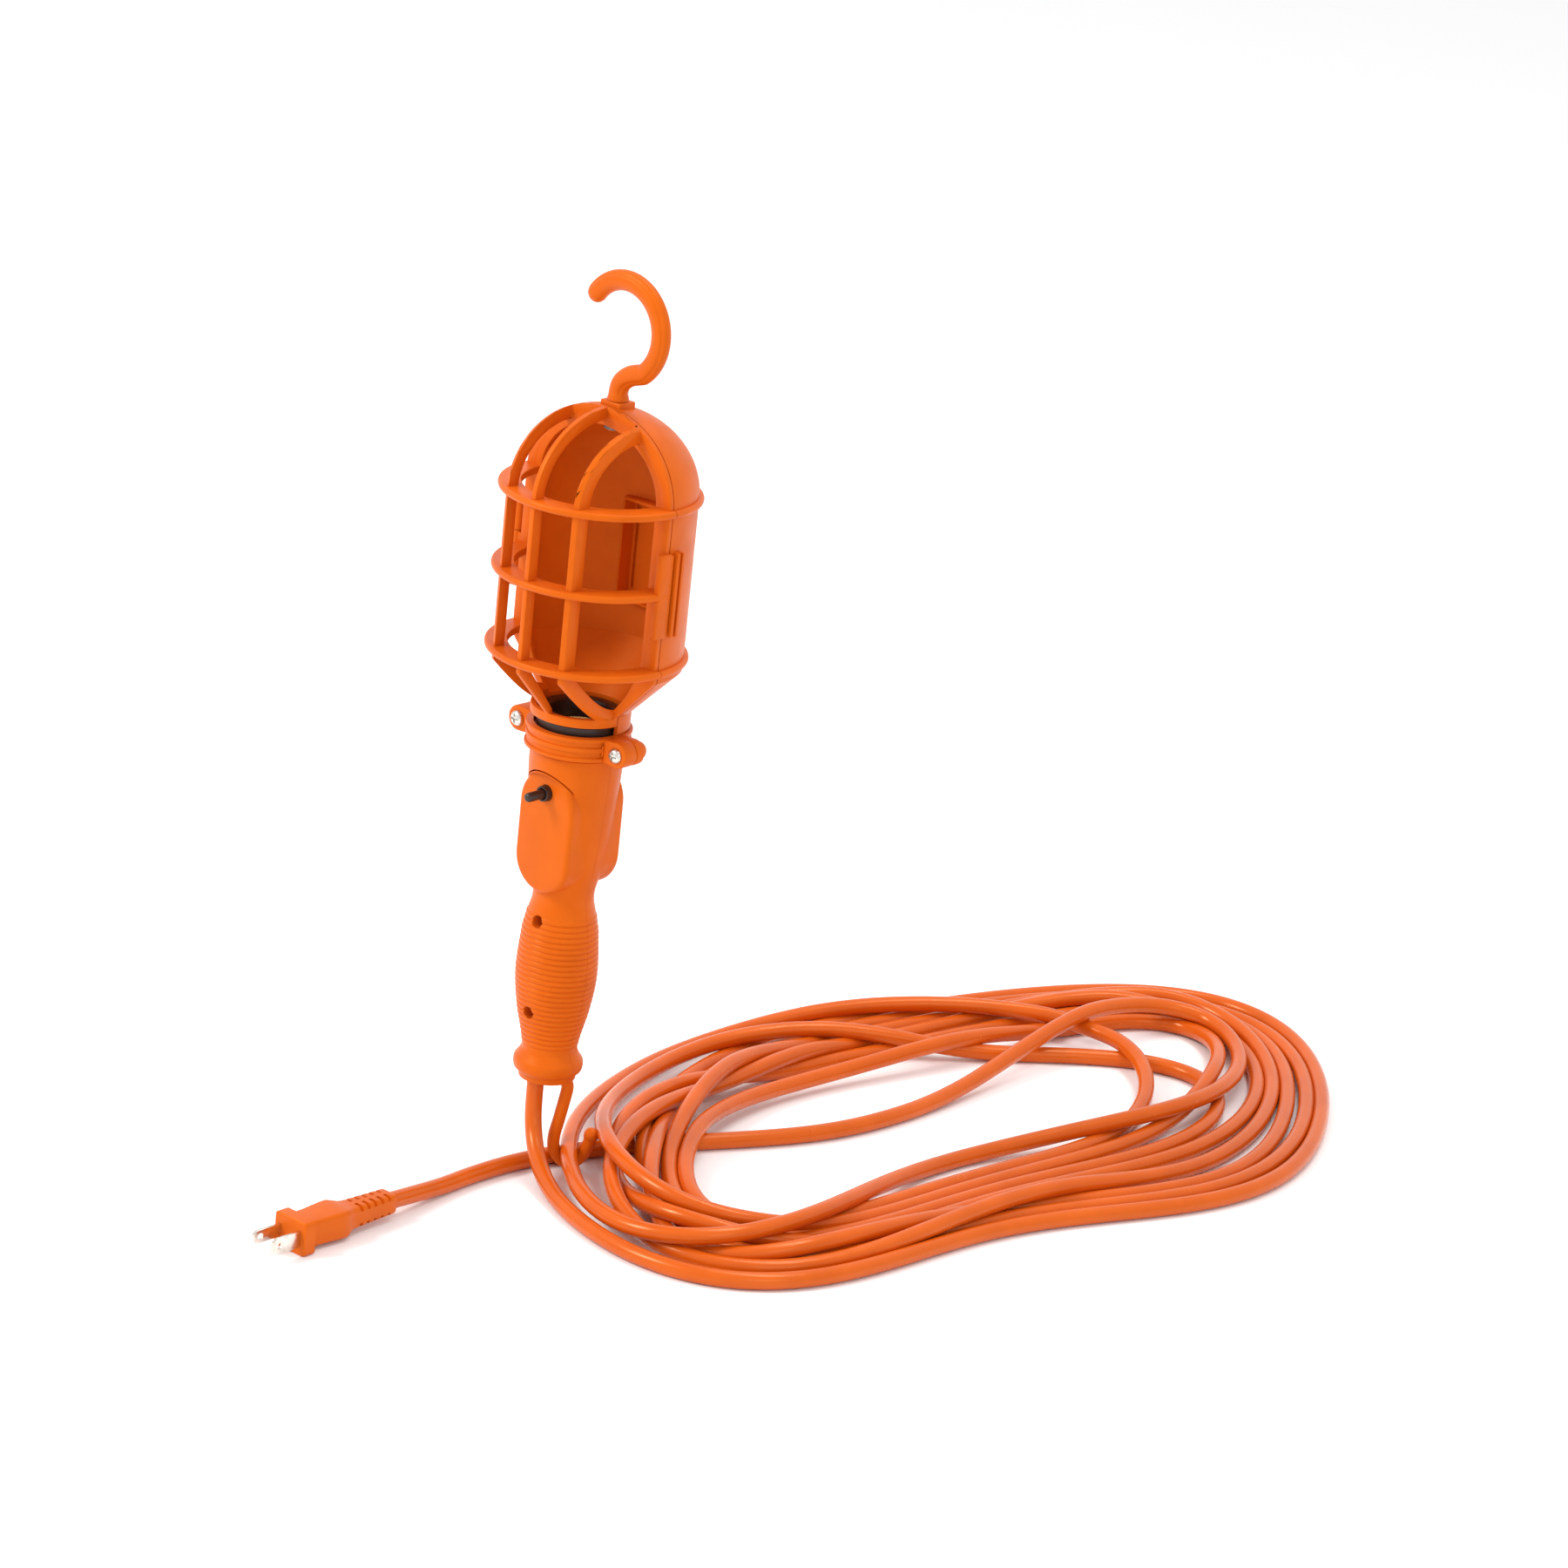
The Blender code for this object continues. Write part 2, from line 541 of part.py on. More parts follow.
def make_guard():
    """The front grille: a lattice of flat bars kept from a thick capsule wall, in one piece."""
    outer = cage_outline() + [(NECK_R, NECK_TOP), (NECK_R, 177.6)]
    inner = cage_outline(RIB_REACH) + [(20.3, 183.4), (20.3, 177.6)]
    wall = turned("wall", outer + inner[::-1], steps=CAGE_SIDES)
    front = -GAP / 2
    lattice = box("flange", (-REACH, -FLANGE_DEPTH, 170), (REACH, front, 330))
    side = RIB_THICK / 2
    bars = [box("rib", (x - side, -REACH, 170), (x + side, front - 0.01, 330)) for x in RIB_X]
    bars.append(box("neck", (-REACH - 1, -REACH - 1, 177.0), (REACH + 1, front - 0.03, NECK_TOP)))
    join(lattice, *bars)
    keep(wall, lattice)

    buried = cage_outline(1.0) + [(NECK_R - 0.8, NECK_TOP)]
    web = turned("web", buried + cage_outline(RING_DEPTH)[::-1], steps=CAGE_SIDES)
    keep(web, box("slab", (-REACH, 0.03 - FLANGE_DEPTH, 170), (REACH, front - 0.03, 330)))
    join(wall, web, *[arc_ring(z, -1, CAGE_R - RING_DEPTH + 0.2) for z in RING_Z])

    middle = hinge_knuckle(HINGE_FOOT + 13 + GAP, HINGE_TOP - 13 - GAP)
    leaf = box("leaf", (HINGE_X - 0.4, -2.4, HINGE_FOOT + 14), (-42.5, -0.6, HINGE_TOP - 14))
    tongue = box("tongue", (CAGE_R - 1.5, -6.6, HINGE_FOOT), (CAGE_R + 1.9, -0.15, HINGE_TOP), 0.4)
    lip = box("lip", (CAGE_R + 0.6, -2.6, HINGE_FOOT + 0.8), (CAGE_R + 1.6, 1.5, HINGE_TOP - 0.8))
    join(wall, leaf, middle, tongue, lip)
    spans = [(HINGE_FOOT - 1, HINGE_FOOT + 13 + GAP), (HINGE_TOP - 13 - GAP, HINGE_TOP + 1)]
    relief = [sleeve("relief", 0.5, HINGE_R + 0.5, low, high, "Z", (HINGE_X, 0)) for low, high in spans]
    cut(wall, rod("pin_hole", HINGE_PIN_R + 0.25, 200, 300, "Z", (HINGE_X, 0), 16), *relief)
    part(wall, "guard_grille", PLASTIC, (HINGE_X, 0, 245.5))


def make_hinge_pin():
    profile = [(0, HINGE_TOP + 1.6), (2.0, HINGE_TOP + 1.6), (2.2, HINGE_TOP + GAP),
               (HINGE_PIN_R, HINGE_TOP + GAP), (HINGE_PIN_R, HINGE_FOOT - 0.6), (0.7, HINGE_FOOT - 1.2),
               (0, HINGE_FOOT - 1.2)]
    part(turned("pin", profile, at=(HINGE_X, 0, 0), steps=16), "hinge_pin", ZINC)


def make_reflector():
    """The rear shell: a half capsule with beads, a flat back panel, hinge knuckles and a hook boss."""
    outer = cage_outline() + [(NECK_R, NECK_TOP), (NECK_R, 174.0), (22.2, 173.4), (22.2, 162.4)]
    inner = cage_outline(SHELL_WALL) + [(21.0, 181.0), (20.9, 162.4)]
    shell = turned("shell", outer + inner[::-1], steps=CAGE_SIDES)
    rear = GAP / 2
    keep(shell, box("rear_half", (-70, rear, 150), (70, 70, 340)))

    panel = box("panel", (-18.5, 36, 221), (18.5, 45.6, 270), 1.2)
    boss_side = BOSS_HALF + 0.6
    boss = box("boss", (-boss_side, rear + 0.4, BOSS_FOOT), (boss_side, BOSS_Y + BOSS_HALF, BOSS_TOP), 0.5)
    ends = [(HINGE_FOOT, HINGE_FOOT + 13), (HINGE_TOP - 13, HINGE_TOP)]
    knuckles = [hinge_knuckle(low, high) for low, high in ends]
    leaves = [box("leaf", (HINGE_X - 0.4, 0.6, low + 0.8), (-42.3, 2.4, high - 0.8)) for low, high in ends]
    keeper = box("keeper", (CAGE_R - 2.0, 2.4, HINGE_FOOT), (CAGE_R + 3.0, 7.4, HINGE_TOP), 0.4)
    beads = [arc_ring(z, 1, CAGE_R - 1.0) for z in (RING_Z[0], RING_Z[2])]
    join(shell, *beads, panel, boss, *leaves, *knuckles, keeper)

    hollow = box("hollow", (-16.9, 34, 222.6), (16.9, 43.6, 268.4))
    slit = box("slit", (-15.6, 43, 226), (-14.0, 44.8, 262))
    groove = box("groove", (CAGE_R + 1.6, 4.0, HINGE_FOOT - 1), (CAGE_R + 4, 5.6, HINGE_TOP + 1))
    relief = sleeve("relief", 0.5, HINGE_R + 0.5, HINGE_FOOT + 13, HINGE_TOP - 13, "Z", (HINGE_X, 0))
    pin_hole = rod("pin_hole", HINGE_PIN_R + 0.25, 200, 300, "Z", (HINGE_X, 0), 16)
    stem_hole = rod("stem_hole", 3.3, 300, 330, "Z", (0, BOSS_Y), 20)
    cut(shell, hollow, slit, groove, relief, pin_hole, stem_hole)
    part(shell, "reflector_shell", PLASTIC)


# ---- hooks -------------------------------------------------------------------------------------
def hanging_hook_route():
    loop = []
    for k in range(15):
        a = math.radians(-52.0 + 197.0 * k / 14)
        loop.append((HOOK_R * math.cos(a), BOSS_Y, HOOK_CENTRE_Z + HOOK_R * math.sin(a)))
    neck = [(0, BOSS_Y, 322.0), (-0.2, BOSS_Y, 326.5), (1.2, BOSS_Y, 331.6), (6.0, BOSS_Y, 335.8)]
    return curve_through(neck + loop[:1], 3)[:-1] + loop


def make_hanging_hook():
    hook = tube("hook", hanging_hook_route(), HOOK_ROD, 2)
    collar = [(0, 327.5), (4.2, 327.5), (4.9, 324.6), (4.9, 323.7), (2.95, 323.7), (2.95, 309.6), (0, 309.6)]
    cut(hook, box("trim", (-10, -10, 300), (10, 20, 324.2)))
    join(hook, turned("base", collar, at=(0, BOSS_Y, 0), steps=20))
    tip = curve_through(hanging_hook_route()[-2:], 1)[-1]
    join(hook, ball("tip", tip, HOOK_ROD))
    part(hook, "hanging_hook", PLASTIC, (0, BOSS_Y, 330))
    clip = sleeve("clip", 2.95 + GAP, 5.2, 310.6, BOSS_FOOT - GAP, "Z", (0, BOSS_Y), 20)
    part(clip, "hook_retainer", ZINC, (0, BOSS_Y, 311))


def ball(name, centre, radius):
    bm = bmesh.new()
    bmesh.ops.create_uvsphere(bm, u_segments=12, v_segments=7, radius=radius * MM)
    bmesh.ops.translate(bm, vec=Vector(centre) * MM, verts=bm.verts)
    mesh = bpy.data.meshes.new(name)
    bm.to_mesh(mesh)
    bm.free()
    return on_bench(name, mesh)


def cord_hook_route():
    """A hook in the upright plane through the handle's axis and the hook's root."""
    out = Vector((*CORD_HOOK_AT, 0.0)).normalized()
    reach = Vector((*CORD_HOOK_AT, 0.0)).length
    flat = [(reach, 2.0), (reach + 0.3, -1.5), (reach + 1.2, -5.0), (reach + 0.2, -12.0),
            (7.4, -22.0), (6.0, -30.0), (6.6, -36.5), (10.6, -41.6), (16.0, -41.8), (20.2, -37.6),
            (22.4, -31.5), (23.2, -27.5)]
    return [out * u + Vector((0, 0, z)) for u, z in flat]


def make_cord_hook():
    route = curve_through(cord_hook_route(), 2)
    hook = tube("hook", route, CORD_HOOK_ROD, 2)
    head = [(0, 7.2), (3.3, 7.2), (3.7, 6.6), (3.7, 5.4), (3.0, 4.2), (CORD_HOOK_ROD, 3.9),
            (CORD_HOOK_ROD, 0.6), (0, 0.6)]
    join(hook, turned("head", head, at=(*CORD_HOOK_AT, 0), steps=16), ball("tip", route[-1], 3.6))
    part(hook, "cord_hook", PLASTIC, (*CORD_HOOK_AT, 0))


# ---- cord --------------------------------------------------------------------------------------
DROP_ROUTE = [(-3.5, -3.5, 26.0), (-3.5, -3.5, 10.0), (-3.5, -3.5, -6.0), (-2.4, -4.3, -18.0),
              (3.6, -9.0, -30.5), (16.0, -18.4, -39.6), (34.0, -30.0, -42.0), (51.8, -39.8, -42.0)]
TAIL_ROUTE = [(19.4, 37.6, -42.0), (6.0, 27.0, -42.0), (-4.0, 14.0, -42.0), (-8.5, -3.0, -42.0),
              (-8.5, -22.0, -42.0), (-6.0, -45.0, -42.0), (-2.8, -70.0, -41.2), (-0.5, -87.0, -38.8),
              (0.0, -97.6, -38.0)]
COIL_CLEARANCE = [(27.8, -83.5), (58.2, -29.6), (33.0, -6.0), (27.0, 26.0), (12.9, 50.0),
                  (-80.0, 90.0), (-80.0, -83.5)]


def oval(inset):
    """The coil's outline, moved in by inset: an oval that leans a little and narrows at its far end."""
    points = []
    for k in range(COIL_SIDES):
        a = 2 * math.pi * k / COIL_SIDES
        along = (COIL_HALF_LENGTH - inset) * math.sin(a)
        pinch = 1.0 - 0.10 * max(0.0, math.sin(a)) ** 2
        across = (COIL_HALF_WIDTH - inset) * math.cos(a) * pinch
        x = COIL_CENTRE[0] + across * math.cos(COIL_LEAN) - along * math.sin(COIL_LEAN)
        y = COIL_CENTRE[1] + across * math.sin(COIL_LEAN) + along * math.cos(COIL_LEAN)
        points.append((x, y))
    return points


def make_cord():
    part(tube("drop", curve_through(DROP_ROUTE, 2), CORD_R, 2), "supply_cord_drop", CORD_SKIN)
    part(tube("tail", curve_through(TAIL_ROUTE, 3), CORD_R, 2), "supply_cord_tail", CORD_SKIN)
    grip = sleeve("grip", CORD_R + GAP, 5.4, 14.0, 22.0, "Z", CORD_EXIT)
    part(grip, "cord_grip", PHENOLIC)

    coil = prism("coil", oval(0.0), FLOOR, FLOOR + COIL_HEIGHT, "Z")
    soften(coil, 7.0, 1)
    cut(coil, prism("eye", oval(COIL_BAND), FLOOR - 5, FLOOR + COIL_HEIGHT + 5, "Z"))
    cut(coil, prism("clearance", COIL_CLEARANCE, FLOOR - 1, 0, "Z"))
    part(coil, "supply_cord_coil", CORD_SKIN)


def slab_outline(half_x, half_z, corner=1.8, steps=2):
    """A rectangle with rounded corners, as (across, up) pairs."""
    points = []
    for sign_x, sign_z, start in ((1, 1, 0), (-1, 1, 90), (-1, -1, 180), (1, -1, 270)):
        for k in range(steps + 1):
            a = math.radians(start + 90 * k / steps)
            across = sign_x * (half_x - corner) + corner * math.cos(a)
            points.append((across, sign_z * (half_z - corner) + corner * math.sin(a)))
    return points


def lofted(name, stations):
    """A closed body through rounded rectangles at stations of (distance, half width, half height)."""
    bm = bmesh.new()
    rings = []
    for y, half_x, half_z in stations:
        outline = slab_outline(half_x, half_z)
        rings.append([bm.verts.new(Vector((PLUG_X + a, PLUG_FACE + y, PLUG_Z + b)) * MM) for a, b in outline])
    for here, there in zip(rings, rings[1:]):
        for j in range(len(here)):
            bm.faces.new((here[j - 1], here[j], there[j], there[j - 1]))
    bm.faces.new(rings[0])
    bm.faces.new(rings[-1])
    mesh = bpy.data.meshes.new(name)
    bm.to_mesh(mesh)
    bm.free()
    tidy(mesh)
    return on_bench(name, mesh)


def make_plug():
    """A moulded two-blade plug: a face flange, a tapered body and a slotted strain relief."""
    length = PLUG_END - PLUG_FACE
    flange = [(0.0, 9.4, 7.7), (0.5, 9.9, 8.1), (6.6, 9.9, 8.1), (7.3, 9.2, 7.4), (7.6, 7.4, 6.4)]
    taper = [(14.0, 7.6, 6.4), (24.0, 8.6, 6.6), (28.5, 8.9, 6.6), (31.0, 7.6, 6.2), (33.5, 6.5, 5.6)]
    relief = [(36.0, 6.2, 5.2), (length - 1.1, 5.3, 4.8), (length, 4.9, 4.4)]
    body = lofted("plug", flange + taper + relief)
    slots = []
    for k in range(5):
        y = PLUG_FACE + 38.0 + 4.5 * k
        for side in (-1, 1):
            low, high = sorted((PLUG_X + side * 1.3, PLUG_X + side * 12.0))
            slots.append(box("slot", (low, y, PLUG_Z + 2.8), (high, y + 1.9, PLUG_Z + 9)))
            slots.append(box("slot", (low, y, PLUG_Z - 9), (high, y + 1.9, PLUG_Z - 2.8)))
    cut(body, *slots)
    part(body, "plug_body", PLASTIC)
    for name, side, tall in (("plug_blade_wide", 1, WIDE_BLADE), ("plug_blade_narrow", -1, NARROW_BLADE)):
        x = PLUG_X + side * BLADE_PITCH / 2
        far = PLUG_FACE - GAP
        low = (x - BLADE_THICK / 2, far - BLADE_LENGTH, PLUG_Z - tall / 2)
        blade = box(name, low, (x + BLADE_THICK / 2, far, PLUG_Z + tall / 2), 0.25)
        cut(blade, rod("hole", BLADE_HOLE_R, x - 3, x + 3, "X", (far - BLADE_HOLE_AT, PLUG_Z), 16))
        part(blade, name, BRASS_SHEET)


# ---- assembly ----------------------------------------------------------------------------------
make_handle()
make_handle_screws()
make_collar("collar_front", -1, 20.9)
make_collar("collar_rear", 1, 22.5)
make_collar_screws()
make_socket()
make_switch()
make_wires()
make_guard()
make_hinge_pin()
make_reflector()
make_hanging_hook()
make_cord_hook()
make_cord()
make_plug()
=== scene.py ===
"""Looks of the hand-held work light: its moulded shells, cage, hooks, plug and the long coiled cord.

The pieces are modelled in the lamp's own millimetres: heights are measured up from the foot of the
handle, the lamp's axis is x = y = 0 and the cage opens towards -Y. place() moves a finished mesh into
the row frame, whose origin is the inside of the top of the hanging hook.
"""

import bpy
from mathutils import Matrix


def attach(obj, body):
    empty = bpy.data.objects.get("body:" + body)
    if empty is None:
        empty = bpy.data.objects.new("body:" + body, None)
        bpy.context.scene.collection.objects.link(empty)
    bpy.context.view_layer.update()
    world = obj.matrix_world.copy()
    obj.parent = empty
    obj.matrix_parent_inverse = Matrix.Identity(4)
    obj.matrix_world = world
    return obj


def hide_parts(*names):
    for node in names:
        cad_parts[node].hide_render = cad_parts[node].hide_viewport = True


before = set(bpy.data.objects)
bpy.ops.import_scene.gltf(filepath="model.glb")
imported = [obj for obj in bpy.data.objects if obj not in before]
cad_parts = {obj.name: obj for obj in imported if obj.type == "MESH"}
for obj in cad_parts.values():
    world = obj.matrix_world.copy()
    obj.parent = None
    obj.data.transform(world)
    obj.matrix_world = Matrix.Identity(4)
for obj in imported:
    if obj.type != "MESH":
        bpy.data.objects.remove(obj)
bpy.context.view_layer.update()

import math

import bmesh
import bpy
import numpy as np
from mathutils import Matrix, Vector

# ---- dimensions shared with the CAD (millimetres) ----------------------------------------------
MM = 0.001
BOSS_Y = 5.6
HOOK_CENTRE_Z, HOOK_R, HOOK_ROD = 355.8, 22.0, 4.4
HANG_HEIGHT = HOOK_CENTRE_Z + HOOK_R - HOOK_ROD
FLOOR = -46.0
CORD_R = 4.0
CORD_EXIT = (-3.5, -3.5, 0.0)
CORD_HOOK_AT, CORD_HOOK_WIRE = (6.9, 5.7), 2.9
TO_ROW = Matrix.Translation(Vector((0.0, -BOSS_Y, -HANG_HEIGHT)) * MM) @ Matrix.Scale(MM, 4)


# ---- camera ------------------------------------------------------------------------------------
CAMERA_AZIMUTH, CAMERA_ELEVATION, CAMERA_ROLL = (math.radians(a) for a in (39.5, 19.0, 6.1))
CAMERA_DISTANCE = 2420.0
CAMERA_LENS = 122.0
CAMERA_AIM = Vector((0.0, 0.0, 120.0))
AIM_SHIFT = (-97.8, -21.9)     # how far the aim lies right of and above the picture's middle


def make_camera():
    sa, ca = math.sin(CAMERA_AZIMUTH), math.cos(CAMERA_AZIMUTH)
    se, ce = math.sin(CAMERA_ELEVATION), math.cos(CAMERA_ELEVATION)
    back = Vector((sa * ce, -ca * ce, se))
    level = Vector((ca, sa, 0.0))
    plumb = back.cross(level)
    right = math.cos(CAMERA_ROLL) * level + math.sin(CAMERA_ROLL) * plumb
    up = -math.sin(CAMERA_ROLL) * level + math.cos(CAMERA_ROLL) * plumb
    eye = CAMERA_AIM - AIM_SHIFT[0] * right - AIM_SHIFT[1] * up + CAMERA_DISTANCE * back
    data = bpy.data.cameras.new("camera")
    data.lens = CAMERA_LENS
    data.sensor_width = 36.0
    data.clip_start, data.clip_end = 0.05, 50.0
    camera = bpy.data.objects.new("camera", data)
    turn = Matrix((right, up, back)).transposed()
    camera.matrix_world = Matrix.Translation(TO_ROW @ eye) @ turn.to_4x4()
    bpy.context.scene.collection.objects.link(camera)
    bpy.context.scene.camera = camera


make_camera()


# ---- materials ---------------------------------------------------------------------------------
NOISE_LOW, NOISE_HIGH = 0.3, 0.7      # the stretch of a noise that most of it falls in
FLOW_WAVES, GLOSS_WAVES, WAVER_WAVES, WAVER_DEEPER = 45.0, 130.0, 160.0, 1.6
STAIN_WAVES, POLISH_WAVES, SCRATCH_WAVES, SCRATCH_DEPTH = 380.0, 900.0, 1500.0, 0.000015


def shader_of(name):
    mat = bpy.data.materials.new(name)
    mat.use_nodes = True
    tree = mat.node_tree
    return mat, tree, tree.nodes["Principled BSDF"]


def noise(tree, scale, detail, stretch=(1.0, 1.0, 1.0)):
    """Noise in the piece's own coordinates; scale is in waves to the metre."""
    where = tree.nodes.new("ShaderNodeTexCoord")
    spread = tree.nodes.new("ShaderNodeMapping")
    spread.inputs["Scale"].default_value = stretch
    tree.links.new(where.outputs["Object"], spread.inputs["Vector"])
    node = tree.nodes.new("ShaderNodeTexNoise")
    node.inputs["Scale"].default_value = scale
    node.inputs["Detail"].default_value = detail
    tree.links.new(spread.outputs["Vector"], node.inputs["Vector"])
    return node.outputs["Fac"]


def between(tree, factor, low, high):
    """Map a 0-1 factor onto a range of numbers."""
    node = tree.nodes.new("ShaderNodeMapRange")
    node.inputs["From Min"].default_value = NOISE_LOW
    node.inputs["From Max"].default_value = NOISE_HIGH
    node.inputs["To Min"].default_value = low
    node.inputs["To Max"].default_value = high
    tree.links.new(factor, node.inputs["Value"])
    return node.outputs["Result"]


def tint(tree, factor, dark, light):
    ramp = tree.nodes.new("ShaderNodeValToRGB")
    ends = ramp.color_ramp.elements
    ends[0].position, ends[1].position = NOISE_LOW, NOISE_HIGH
    ends[0].color, ends[1].color = (*dark, 1.0), (*light, 1.0)
    tree.links.new(factor, ramp.inputs["Fac"])
    return ramp.outputs["Color"]


def relief(tree, shader, layers):
    """Stack bump layers of (factor, depth in metres)."""
    last = None
    for factor, depth in layers:
        bump = tree.nodes.new("ShaderNodeBump")
        bump.inputs["Distance"].default_value = depth
        bump.inputs["Strength"].default_value = 1.0
        tree.links.new(factor, bump.inputs["Height"])
        if last:
            tree.links.new(last, bump.inputs["Normal"])
        last = bump.outputs["Normal"]
    tree.links.new(last, shader.inputs["Normal"])


def moulded(name, dark, light, rough, grain, depth, specular=0.5, sheen=(1.0, 1.0, 1.0)):
    """Moulded plastic: a faint flow of colour, a fine tool-mark grain and slightly uneven gloss."""
    mat, tree, shader = shader_of(name)
    tree.links.new(tint(tree, noise(tree, FLOW_WAVES, 3.0), dark, light), shader.inputs["Base Color"])
    tree.links.new(between(tree, noise(tree, GLOSS_WAVES, 4.0), *rough), shader.inputs["Roughness"])
    shader.inputs["Specular IOR Level"].default_value = specular
    shader.inputs["Specular Tint"].default_value = (*sheen, 1.0)
    relief(tree, shader, [(noise(tree, grain, 2.0), depth),
                          (noise(tree, WAVER_WAVES, 2.0), depth * WAVER_DEEPER)])
    return mat


def metal(name, dark, light, rough, stretch):
    """Plated or rolled metal with fine drawn scratches."""
    mat, tree, shader = shader_of(name)
    colour = tint(tree, noise(tree, STAIN_WAVES, 4.0), dark, light)
    gloss = between(tree, noise(tree, POLISH_WAVES, 3.0, stretch), *rough)
    tree.links.new(colour, shader.inputs["Base Color"])
    tree.links.new(gloss, shader.inputs["Roughness"])
    shader.inputs["Metallic"].default_value = 1.0
    relief(tree, shader, [(noise(tree, SCRATCH_WAVES, 2.0, stretch), SCRATCH_DEPTH)])
    return mat


ORANGE = moulded("orange_plastic", (0.60, 0.098, 0.004), (0.67, 0.114, 0.005), (0.34, 0.46), 1500.0,
                 0.000022, 0.32, (1.0, 0.55, 0.18))
CORD_SKIN = moulded("orange_vinyl", (0.58, 0.088, 0.004), (0.65, 0.104, 0.005), (0.20, 0.28), 900.0,
                    0.000010, 0.5, (1.0, 0.72, 0.42))
PHENOLIC = moulded("dark_phenolic", (0.016, 0.006, 0.003), (0.030, 0.012, 0.007), (0.30, 0.42),
                   1300.0, 0.00002)
SLEEVE_DARK = moulded("black_sleeve", (0.015, 0.014, 0.014), (0.03, 0.028, 0.027), (0.4, 0.55),
                      900.0, 0.00002)
SLEEVE_PALE = moulded("white_sleeve", (0.68, 0.66, 0.60), (0.80, 0.78, 0.72), (0.4, 0.55), 900.0,
                      0.00002)
ZINC = metal("plated_steel", (0.60, 0.57, 0.52), (0.86, 0.83, 0.78), (0.16, 0.34), (1.0, 6.0, 1.0))
DULL_STEEL = metal("dull_steel", (0.16, 0.14, 0.12), (0.28, 0.25, 0.22), (0.45, 0.60),
                   (1.0, 6.0, 1.0))
BRASS = metal("brass", (0.60, 0.38, 0.13), (0.80, 0.56, 0.24), (0.2, 0.36), (1.0, 1.0, 6.0))
NICKEL = metal("blade_plate", (0.72, 0.66, 0.58), (0.90, 0.86, 0.80), (0.14, 0.28), (6.0, 1.0, 1.0))


# ---- modelling helpers -------------------------------------------------------------------------
AXIS_TURN = {
    "Z": Matrix.Identity(4),
    "Y": Matrix.Rotation(math.radians(-90.0), 4, "X"),
    "X": Matrix.Rotation(math.radians(90.0), 4, "Y"),
}
GAP = 0.3                             # running clearance between pieces
WELD, SPECK = 0.002, 0.001            # points and edges closer than this are one
SLIVER, FLAT_ANGLE = 0.05, 0.5        # what thin_out takes as too short and as flat, in degrees
PARTING = 60.0                        # half a box that is larger than the lamp is wide


def arc(start, end, steps):
    """Evenly spaced angles in radians from start to end, both given in radians."""
    return [start + (end - start) * k / steps for k in range(steps + 1)]


def working(name, mesh):
    obj = bpy.data.objects.new(name, mesh)
    bpy.context.scene.collection.objects.link(obj)
    return obj


def clean(mesh):
    bm = bmesh.new()
    bm.from_mesh(mesh)
    bmesh.ops.remove_doubles(bm, verts=bm.verts, dist=WELD)
    bmesh.ops.dissolve_degenerate(bm, edges=bm.edges, dist=SPECK)
    bmesh.ops.recalc_face_normals(bm, faces=bm.faces)
    bm.to_mesh(mesh)
    bm.free()


def bake(obj):
    depsgraph = bpy.context.evaluated_depsgraph_get()
    mesh = bpy.data.meshes.new_from_object(obj.evaluated_get(depsgraph))
    obj.modifiers.clear()
    obj.data = mesh
    clean(mesh)
    return obj


def from_faces(name, verts, faces):
    mesh = bpy.data.meshes.new(name)
    mesh.from_pydata([tuple(v) for v in verts], [], faces)
    clean(mesh)
    return working(name, mesh)


def thin_out(mesh):
    """Join the short edges that a cut leaves and drop the edges inside its flat faces."""
    bm = bmesh.new()
    bm.from_mesh(mesh)
    bmesh.ops.remove_doubles(bm, verts=bm.verts, dist=SLIVER)
    bmesh.ops.dissolve_limit(bm, angle_limit=math.radians(FLAT_ANGLE), verts=bm.verts, edges=bm.edges)
    bm.to_mesh(mesh)
    bm.free()


def rounded(obj, width, segments=2, angle=35.0, clamp=True):
    bevel = obj.modifiers.new("round", "BEVEL")
    bevel.width = width
    bevel.segments = segments
    bevel.limit_method = "ANGLE"
    bevel.angle_limit = math.radians(angle)
    bevel.use_clamp_overlap = clamp
    return bake(obj)


def box(name, low, high, bevel=0.0, segments=2):
    x0, y0, z0 = low
    x1, y1, z1 = high
    verts = [(x, y, z) for x in (x0, x1) for y in (y0, y1) for z in (z0, z1)]
    faces = [(0, 1, 3, 2), (4, 6, 7, 5), (0, 4, 5, 1), (2, 3, 7, 6), (0, 2, 6, 4), (1, 5, 7, 3)]
    obj = from_faces(name, verts, faces)
    return rounded(obj, bevel, segments) if bevel else obj


def turned(name, profile, axis="Z", at=(0.0, 0.0, 0.0), steps=96, ring=False):
    """Turn a profile of (radius, height) pairs about an axis; a ring's profile closes on itself."""
    verts, faces = [], []
    count = len(profile)
    for k in range(steps):
        a = 2 * math.pi * k / steps
        verts += [(r * math.cos(a), r * math.sin(a), h) for r, h in profile]
    spans = count if ring else count - 1
    for k in range(steps):
        here, there = k * count, (k + 1) % steps * count
        for j in range(spans):
            up = (j + 1) % count
            faces.append((here + j, there + j, there + up, here + up))
    obj = from_faces(name, verts, faces)
    obj.data.transform(Matrix.Translation(Vector(at)) @ AXIS_TURN[axis])
    return obj


def on_axis(axis, at):
    return {"X": (0, *at), "Y": (at[0], 0, at[1]), "Z": (*at, 0)}[axis]


def rod(name, radius, low, high, axis="Z", at=(0.0, 0.0), steps=40):
    profile = [(0, high), (radius, high), (radius, low), (0, low)]
    return turned(name, profile, axis, on_axis(axis, at), steps)


